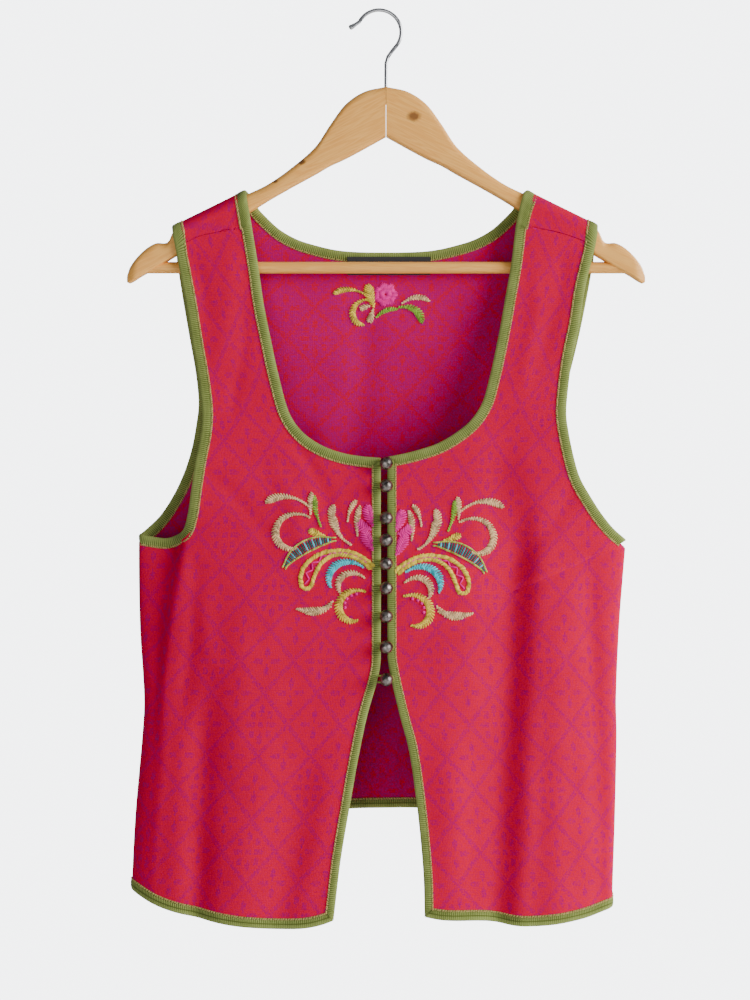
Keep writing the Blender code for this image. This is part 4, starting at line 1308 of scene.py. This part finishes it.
# Sprig at the back of the neck
SPRIG = rows(
    Motif,
    ("yellow", 3.2, -17, -241, 150, 30, 66, 0.7), ("yellow", 3.6, -13, -245, 176, 38, 190, 0.6),
    ("yellow", 5.7, -10, -252, 112, 21, -14, 0.5), ("beige", 3.2, -13, -250, 190, 10, 20, 0.5),
    ("beige", 3.9, -11, -252, 262, 13, -20, 0.6), ("green", 2.5, -9, -261, 48, 22, -62, 0.5),
    ("green", 4.5, 10, -252, 14, 29, -110, 0.6), ("beige", 2.9, 13, -249, 40, 27, -80, 0.6),
)
FLOWER = (-0.5, -240.5, 9.8)  # its middle, across and up, and its radius
STITCH_STEP = 1.02  # between satin stitches
THREAD_HALF = 0.76  # half thickness of an embroidery thread

chance = random.Random(11)  # the same draws in every run


def arc(motif, count):
    """Places along a motif, in the order in which it is sewn."""
    at = Vector((motif.out, motif.up))
    found = [at]
    for k in range(count):
        heading = math.radians(motif.heading + motif.turn * ((k + 0.5) / count) ** 1.3)
        at = at + Vector((math.cos(heading), math.sin(heading))) * motif.length / count
        found.append(at)
    return found


def wide_at(motif, share):
    """Half width of a motif at a share of its length."""
    bend = math.log(0.5) / math.log(motif.widest)
    return motif.half * max(0.28, math.sin(math.pi * min(max(share, 0.0), 1.0) ** bend) ** 0.75)


class Needle:
    """Sews threads to one side of a panel. A spray grows to the left or the right of its middle
    line, and a sprig's places are those on the panel."""

    def __init__(self, shape, surface, side, way=0, drop=0.0):
        self.shape, self.surface, self.side = shape, surface, side
        self.way, self.drop = way, drop

    def place(self, point):
        """A motif's point as a place on the panel."""
        x, z = point
        if self.way:
            x = SPRAY_MIDDLE + self.way * x
        return Vector((x, z - self.drop))

    def stitch(self, start, end, slot, height=0.5, half=THREAD_HALF):
        """One thread from start to end over the cloth, with both ends sunk a little into it."""
        shade = chance.random() ** 1.4
        middle = start.lerp(end, 0.5)
        out = facing(self.surface, middle.x, middle.y) * self.side
        path = []
        for share in (0.0, 0.2, 0.5, 0.8, 1.0):
            at = start.lerp(end, share)
            lift = CLOTH / 2 - 0.25 + (height + 0.25) * (1 - (2 * share - 1) ** 4)
            path.append(self.surface(at.x, at.y) + out * lift)
        self.shape.tube(path, (half * 0.6, half, half, half, half * 0.6), 5, slot, shade)

    def satin(self, motif, slant=0.6):
        """Slanted stitches from just past the middle of a motif to its edges, left and right in turn."""
        count = max(4, round(motif.length / STITCH_STEP))
        path = [self.place(p) for p in arc(motif, count)]
        for i, centre in enumerate(path[1:-1], 1):
            run = (path[i + 1] - path[i - 1]).normalized()
            across = Vector((-run.y, run.x)) * (1 if i % 2 else -1)
            wide = wide_at(motif, i / count)
            way = across * math.cos(slant) + run * math.sin(slant)
            near, far = way * wide * chance.uniform(0.2, 0.5), way * wide * chance.uniform(0.95, 1.12)
            height = 0.45 + 0.1 * wide + chance.uniform(-0.15, 0.2)
            self.stitch(centre - near, centre + far, SLOT[motif.thread], height)

    def stem(self, path, thread, half, pitch):
        """A line of short stitches, each overlapping the next."""
        points = [self.place(p) for p in path]
        length = sum((q - p).length for p, q in zip(points, points[1:]))
        path = stations(points, max(2, round(length / pitch)))
        for a, b in zip(path, path[1:]):
            run = (b - a) * 0.2
            self.stitch(a - run, b + run, SLOT[thread], 0.6, half)

    def dot(self, point, thread):
        """A raised dot of three crossed stitches."""
        centre = self.place(point)
        for k in range(3):
            turn = math.pi * k / 3
            away = Vector((math.cos(turn), math.sin(turn))) * 1.2
            self.stitch(centre - away, centre + away, SLOT[thread], 0.8 + 0.1 * k, 0.55)


def edges_of(motif, count):
    """Both edges of an open motif."""
    path = arc(motif, count)
    found = ([], [])
    for i, p in enumerate(path):
        run = (path[min(i + 1, count)] - path[max(i - 1, 0)]).normalized()
        aside = Vector((-run.y, run.x)) * wide_at(motif, i / count)
        found[0].append(p + aside)
        found[1].append(p - aside)
    return found


OPEN_STEPS = 90  # along an open motif
OPEN_STOP = 82  # the step at which its blunt end begins


def border_of(motif):
    """The edge of an open motif, from its start round its blunt end and back."""
    upper, lower = edges_of(motif, OPEN_STEPS)
    stop = OPEN_STOP
    centre = upper[stop].lerp(lower[stop], 0.5)
    aside = upper[stop] - centre
    ahead = Vector((aside.y, -aside.x))
    turns = [math.pi * k / 12 for k in range(1, 12)]
    cap = [centre + aside * math.cos(turn) + ahead * math.sin(turn) for turn in turns]
    return upper[1 : stop + 1] + cap + lower[1 : stop + 1][::-1]


def sew_spray(needle):
    """A front's embroidery: satin motifs, an open crescent with a zigzag, a laddered leaf and dots."""
    for motif in SPRAY:
        needle.satin(motif)
    # Thick slanted stitches round the open crescent
    border = stations([needle.place(p) for p in border_of(OPEN_CRESCENT)], 150)
    for before, centre, after in zip(border, border[1:], border[2:]):
        run = (after - before).normalized()
        across = Vector((-run.y, run.x)) * 0.85 + run * 0.5
        near, far = (across * chance.uniform(1.4, 2.3) for _ in range(2))
        needle.stitch(centre - near, centre + far, SLOT["yellow"], 0.65)
    inner = [edge[8:84:5] for edge in edges_of(OPEN_CRESCENT, OPEN_STEPS)]
    zigzag = [p.lerp(q, 0.3 if k % 2 else 0.7) for k, (p, q) in enumerate(zip(*inner))]
    for a, b in zip(zigzag, zigzag[1:]):
        needle.stitch(needle.place(a), needle.place(b), SLOT["pink"], 0.7, 0.6)
    upper, lower = edges_of(LADDER_LEAF, 24)
    for side in (upper, lower):
        needle.stem(side, "lime", 0.75, 1.9)
    for k, (p, q) in enumerate(zip(upper[2:-1], lower[2:-1])):
        a, b = needle.place(p), needle.place(q)
        thread = "turquoise" if k % 3 == 1 else "teal"
        needle.stitch(a.lerp(b, 0.1), a.lerp(b, 0.9), SLOT[thread], 0.55, 0.7)
    for point in DOTS:
        needle.dot(point, "pink")


def sew_sprig(needle):
    """The embroidery at the back of the neck: satin motifs round a flower of two rings."""
    for motif in SPRIG:
        needle.satin(motif, 0.7)
    x, z, radius = FLOWER
    centre = needle.place((x, z))
    for ring, (low, high) in enumerate(((0.1, 0.6), (0.45, 1.0))):
        count = round(2 * math.pi * radius * high / 1.1)
        for k in range(count):
            turn = 2 * math.pi * (k + chance.uniform(-0.2, 0.2)) / count
            petal = 1 + 0.08 * math.cos(7 * turn) + chance.uniform(-0.05, 0.05)
            way = Vector((math.cos(turn), math.sin(turn))) * radius * petal
            needle.stitch(centre + way * low, centre + way * high, SLOT["pink"], 1.3 - 0.5 * ring, 0.55)


def make_embroidery(name, sew_motifs, *placing):
    """All the threads of one embroidery, sewn by a needle placed so."""
    shape = Shape()
    sew_motifs(Needle(shape, *placing))
    return shape.made(name, THREAD_LOOKS, "run", 60)


def turned_shape(foot, axis, profile, sides):
    """A body turned round an axis: rows of radius and distance along it."""
    up = Vector((0, 0, 1))
    ways = circle(axis.cross(up).normalized(), up, sides)
    shape = Shape()
    shape.skin([[foot + axis * distance + way * radius for way in ways] for radius, distance in profile])
    return shape


def button_foot(z):
    """Where a button's shank meets the right band, and the way the button leans."""
    on_band = front_point(SHANK_X, z) - Vector((0, BAND_HALF + GAP, 0))
    axis = Vector((-math.sin(LEAN), -math.cos(LEAN), 0))
    return on_band - Vector((0, SHANK_HALF * math.sin(LEAN), 0)), axis


def make_button(number, z):
    """A ball on a shank, with a fine raised line round its middle."""
    foot, axis = button_foot(z)
    middle = SHANK_LENGTH + BALL_HALF * 0.97
    start = math.asin(SHANK_HALF / BALL_HALF)
    profile = [(SHANK_HALF, -0.6), (SHANK_HALF, SHANK_LENGTH * 0.5)]
    steps = 18
    for k in range(steps):
        turn = start + (math.pi - start) * k / steps
        swell = 1 + 0.025 * math.exp(-(((turn - math.pi / 2) / 0.08) ** 2))
        profile.append((BALL_HALF * swell * math.sin(turn), middle - BALL_HALF * math.cos(turn)))
    profile.append((0.6, middle + BALL_HALF * 1.03))
    obj = turned_shape(foot, axis, profile, 28).made(f"ball_button_{number}", [OLD_METAL])
    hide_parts(f"button_{number}")


def make_loop(number, z):
    """A round cord loop from the left band round the shank of its button."""
    foot, _ = button_foot(z)
    y = foot.y + SHANK_HALF * math.sin(LEAN) - LOOP_HALF
    bend = SHANK_HALF + LOOP_HALF + 2 * GAP
    middle = foot.x - math.tan(LEAN) * (foot.y - y)
    path = [Vector((LOOP_ROOT + (middle - LOOP_ROOT) * k / 6, y, z + bend)) for k in range(6)]
    for k in range(11):
        turn = math.pi * (0.5 - k / 10)
        path.append(Vector((middle + bend * math.cos(turn), y, z + bend * math.sin(turn))))
    path += [Vector((middle + (LOOP_ROOT - middle) * k / 6, y, z - bend)) for k in range(1, 7)]
    shape = Shape()
    shape.tube(path, [LOOP_HALF] * len(path), 10)
    obj = shape.made(f"cord_loop_{number}", [CORD], "run")
    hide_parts(f"button_loop_{number}")


def make_arm(name, node, side):
    """Half of the hanger: a shaped board with a fully rounded upper edge."""
    rings = []
    for k in range(ARM_STEPS + 1):
        x = ARM[0].x + (ARM[-1].x - ARM[0].x) * (k / ARM_STEPS)
        top, bottom = table(ARM, x, "top"), table(ARM, x, "bottom")
        half = min(ARM_HALF, (top - bottom) / 2)
        bevel = min(ARM_BEVEL, half / 2)
        # The board thins towards its end, to a rounded tip
        deep = ARM_HALF * min(1.0, math.sqrt(max(0.0, (ARM[-1].x + 1.5 - x) / 9)))
        turns = [math.pi * k / 14 for k in range(15)]
        ring = [(deep * math.cos(turn), top - half + half * math.sin(turn)) for turn in turns]
        turns = [math.pi * k / 8 for k in range(5)]
        edge = [
            (deep * (0.72 + 0.28 * math.cos(turn)), bottom + bevel * (1 - math.sin(turn)))
            for turn in turns
        ]
        ring += [(-y, z) for y, z in edge] + edge[::-1]
        rings.append([Vector((side * x, y, z)) for y, z in ring])
    shape = Shape()
    shape.skin(rings)
    knots = [knot for knot in KNOTS if knot.x * side > 0]
    obj = shape.made(name, [wood_look(name + "_pine", side, knots)])
    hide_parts(node)


def make_bar():
    """The hanger's round bar, with its ends bevelled."""
    narrow, inner = BAR_HALF - BAR_BEVEL, BAR_REACH - BAR_BEVEL
    profile = ((narrow, -BAR_REACH), (BAR_HALF, -inner), (BAR_HALF, inner), (narrow, BAR_REACH))
    shape = turned_shape(Vector((0, 0, BAR_Z)), Vector((1, 0, 0)), profile, 32)
    obj = shape.made("round_bar", [wood_look("bar_pine", 0, ())])
    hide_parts("hanger_bar")


def make_hook():
    """A wire: straight stem, an arc over the rail, and a short tail with a rounded end."""
    centre = Vector((-MIDDLE_X, 0, WIRE_HALF - CROOK_RADIUS))
    path = [Vector((x, 0, z)) for x, z in STEM]
    for k in range(CROOK_STEPS + 1):
        turn = CROOK_FROM + (CROOK_TO - CROOK_FROM) * k / CROOK_STEPS
        path.append(centre + Vector((math.cos(turn), 0, math.sin(turn))) * CROOK_RADIUS)
    swell = [1.0] * len(path)
    for x, z, wide in TAIL:
        path.append(Vector((x, 0, z)))
        swell.append(wide)
    shape = Shape()
    shape.tube(path, [WIRE_HALF * s for s in swell], 14)
    obj = shape.made("wire_hook", [STEEL_WIRE])
    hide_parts("hanger_hook")


# Studio, in metres and watts: camera, lamps, and brightness of the room
CAMERA_PLACE = (-0.0034, -2.0, -0.4169)
LENS, SENSOR = 84.3, 36.0
VEST_MIDDLE = (0, 0, -0.42)
Lamp = namedtuple("Lamp", "name place size power")
LAMPS = rows(
    Lamp,
    ("key", (3.2, -1.85, 0.55), 2.8, 200.0), ("fill", (-0.5, -2.4, -0.7), 1.6, 12.0),
    ("behind", (1.9, 1.4, 0.3), 1.6, 72.0),
)
ROOM_COLOUR = (0.95, 0.97, 1.0, 1)
WORLD_STRENGTH = 0.24  # as it lights the vest
WALL_STRENGTH = 5.5  # as the camera sees it
FLOOR_GLOW = 4.8
FLOOR_RADIUS, FLOOR_Z = 2.9, -1.62


def in_scene(name, data, place):
    """A new object in the scene."""
    obj = bpy.data.objects.new(name, data)
    obj.location = place
    bpy.context.scene.collection.objects.link(obj)
    return obj


def make_studio():
    """Camera, lights, a room that is brighter to the camera than to the vest, and a floor."""
    camera = bpy.data.cameras.new("camera")
    camera.lens, camera.sensor_width = LENS, SENSOR
    obj = in_scene("camera", camera, CAMERA_PLACE)
    obj.rotation_euler = (math.pi / 2, 0, 0)
    bpy.context.scene.camera = obj
    for lamp in LAMPS:
        light = bpy.data.lights.new(lamp.name, "AREA")
        light.shape = "DISK"
        light.size, light.energy = lamp.size, lamp.power
        obj = in_scene(lamp.name, light, lamp.place)
        way = Vector(VEST_MIDDLE) - obj.location
        obj.rotation_euler = way.to_track_quat("-Z", "Y").to_euler()
    world = bpy.data.worlds.new("pale_room")
    world.use_nodes = True
    tree = world.node_tree
    lighting = tree.nodes["Background"]
    wall = tree.nodes.new("ShaderNodeBackground")
    for node, strength in ((lighting, WORLD_STRENGTH), (wall, WALL_STRENGTH)):
        node.inputs["Color"].default_value = ROOM_COLOUR
        node.inputs["Strength"].default_value = strength
    either = tree.nodes.new("ShaderNodeMixShader")
    tree.links.new(tree.nodes.new("ShaderNodeLightPath").outputs["Is Camera Ray"], either.inputs[0])
    tree.links.new(lighting.outputs[0], either.inputs[1])
    tree.links.new(wall.outputs[0], either.inputs[2])
    tree.links.new(either.outputs[0], tree.nodes["World Output"].inputs[0])
    bpy.context.scene.world = world
    shape = bmesh.new()
    bmesh.ops.create_circle(shape, cap_ends=True, radius=FLOOR_RADIUS, segments=64)
    mesh = bpy.data.meshes.new("floor")
    shape.to_mesh(mesh)
    shape.free()
    mesh.materials.append(floor_look("floor_paint"))
    floor = in_scene("floor", mesh, (0, 0, FLOOR_Z))


RED, PURPLE = (0.7, 0.0, 0.028, 1), (0.33, 0.003, 0.15, 1)
DEEP_RED, PURPLE_GROUND = (0.62, 0.0, 0.03, 1), (0.4, 0.003, 0.18, 1)
# The darker sage is painted shade between the ribs and in the hem's middle groove, and random wear
SAGE, SAGE_SHADE_AND_WEAR = (0.31, 0.37, 0.1, 1), (0.09, 0.115, 0.02, 1)
OUTSIDE = knit_look("knit_outside", RED, PURPLE, 0.34, 0.66)
INSIDE = knit_look("knit_inside", PURPLE_GROUND, DEEP_RED, 0.8, 0.85)
RIB_TAPE = rib_look("rib_tape", SAGE, SAGE_SHADE_AND_WEAR)
GROOVE_SHADED_TAPE = rib_look("groove_shaded_tape", SAGE, SAGE_SHADE_AND_WEAR, 0.9)
SEWING = thread_look("sewing_thread", (0.6, 0.45, 0.16, 1))
THREAD_LOOKS = [thread_look(thread.name + "_thread", thread.colour, thread.depth) for thread in THREADS]
OLD_METAL = old_metal_look("old_metal")
CORD = thread_look("cord", (0.26, 0.3, 0.05, 1))
STEEL_WIRE = steel_look("steel_wire")

UNDER = 3.0  # how far a panel reaches in under its bindings

left, right, back = front_outline(LEFT, "left"), front_outline(RIGHT, "right"), back_outline()
for name, outline in (("left", left), ("right", right)):
    places, faces = front_places(outline, UNDER)
    shell(f"knit_front_{name}", f"front_{name}", knit_front, places, faces, name, [OUTSIDE, INSIDE])
places, faces = back_places(back, UNDER)
shell("knit_back", "back", knit_back, places, faces, "back", [OUTSIDE, INSIDE])

left_edges, right_edges = bordered(left, knit_front), bordered(right, knit_front)
back_edges = bordered(back, knit_back)
sewing = Shape()
ribs = {}
neck = joined(turned(left_edges["neck"]), turned(back_edges["neck"]), right_edges["neck"])
hem = joined(left_edges["hem"], back_edges["hem"], turned(right_edges["hem"]))
for name, run in (
    ("binding_neck", neck),
    ("binding_front_left", left_edges["edge"]),
    ("binding_front_right", right_edges["edge"]),
    ("binding_hem", hem),
):
    # The hem's tape also has a painted groove shade along its middle
    look = GROOVE_SHADED_TAPE if name == "binding_hem" else RIB_TAPE
    run, ribs[name] = bound_edge(name, pulled_back(run), False, look)
    sew(sewing, run)
for name, front, behind in (
    ("left", left_edges["armhole"], turned(back_edges["left armhole"])),
    ("right", right_edges["armhole"], back_edges["right armhole"]),
):
    ring = joined(turned(front), behind)
    for part in ring:
        part[0] = part[0].lerp(part.pop(), 0.5)
    run, ribs["armhole_" + name] = bound_edge("binding_armhole_" + name, ring, True, RIB_TAPE)
    sew(sewing, run)
stitches = sewing.made("edge_stitches", [SEWING], "run", 60)

spray_left = make_embroidery("spray_left", sew_spray, knit_front, 1, -1)
spray_right = make_embroidery("spray_right", sew_spray, knit_front, 1, 1, RIGHT_SPRAY_DROP)
sprig_inside = make_embroidery("sprig_inside", sew_sprig, knit_back, -1)
sprig_outside = make_embroidery("sprig_outside", sew_sprig, knit_back, 1)

for number, z in enumerate(BUTTON_Z, 1):
    make_button(number, z)
    make_loop(number, z)
make_arm("board_left", "hanger_arm_left", -1)
make_arm("board_right", "hanger_arm_right", 1)
make_bar()
make_hook()
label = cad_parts["label"]
for slot in label.material_slots:
    slot.material = woven_look("black_tape")

# The studio
make_studio()
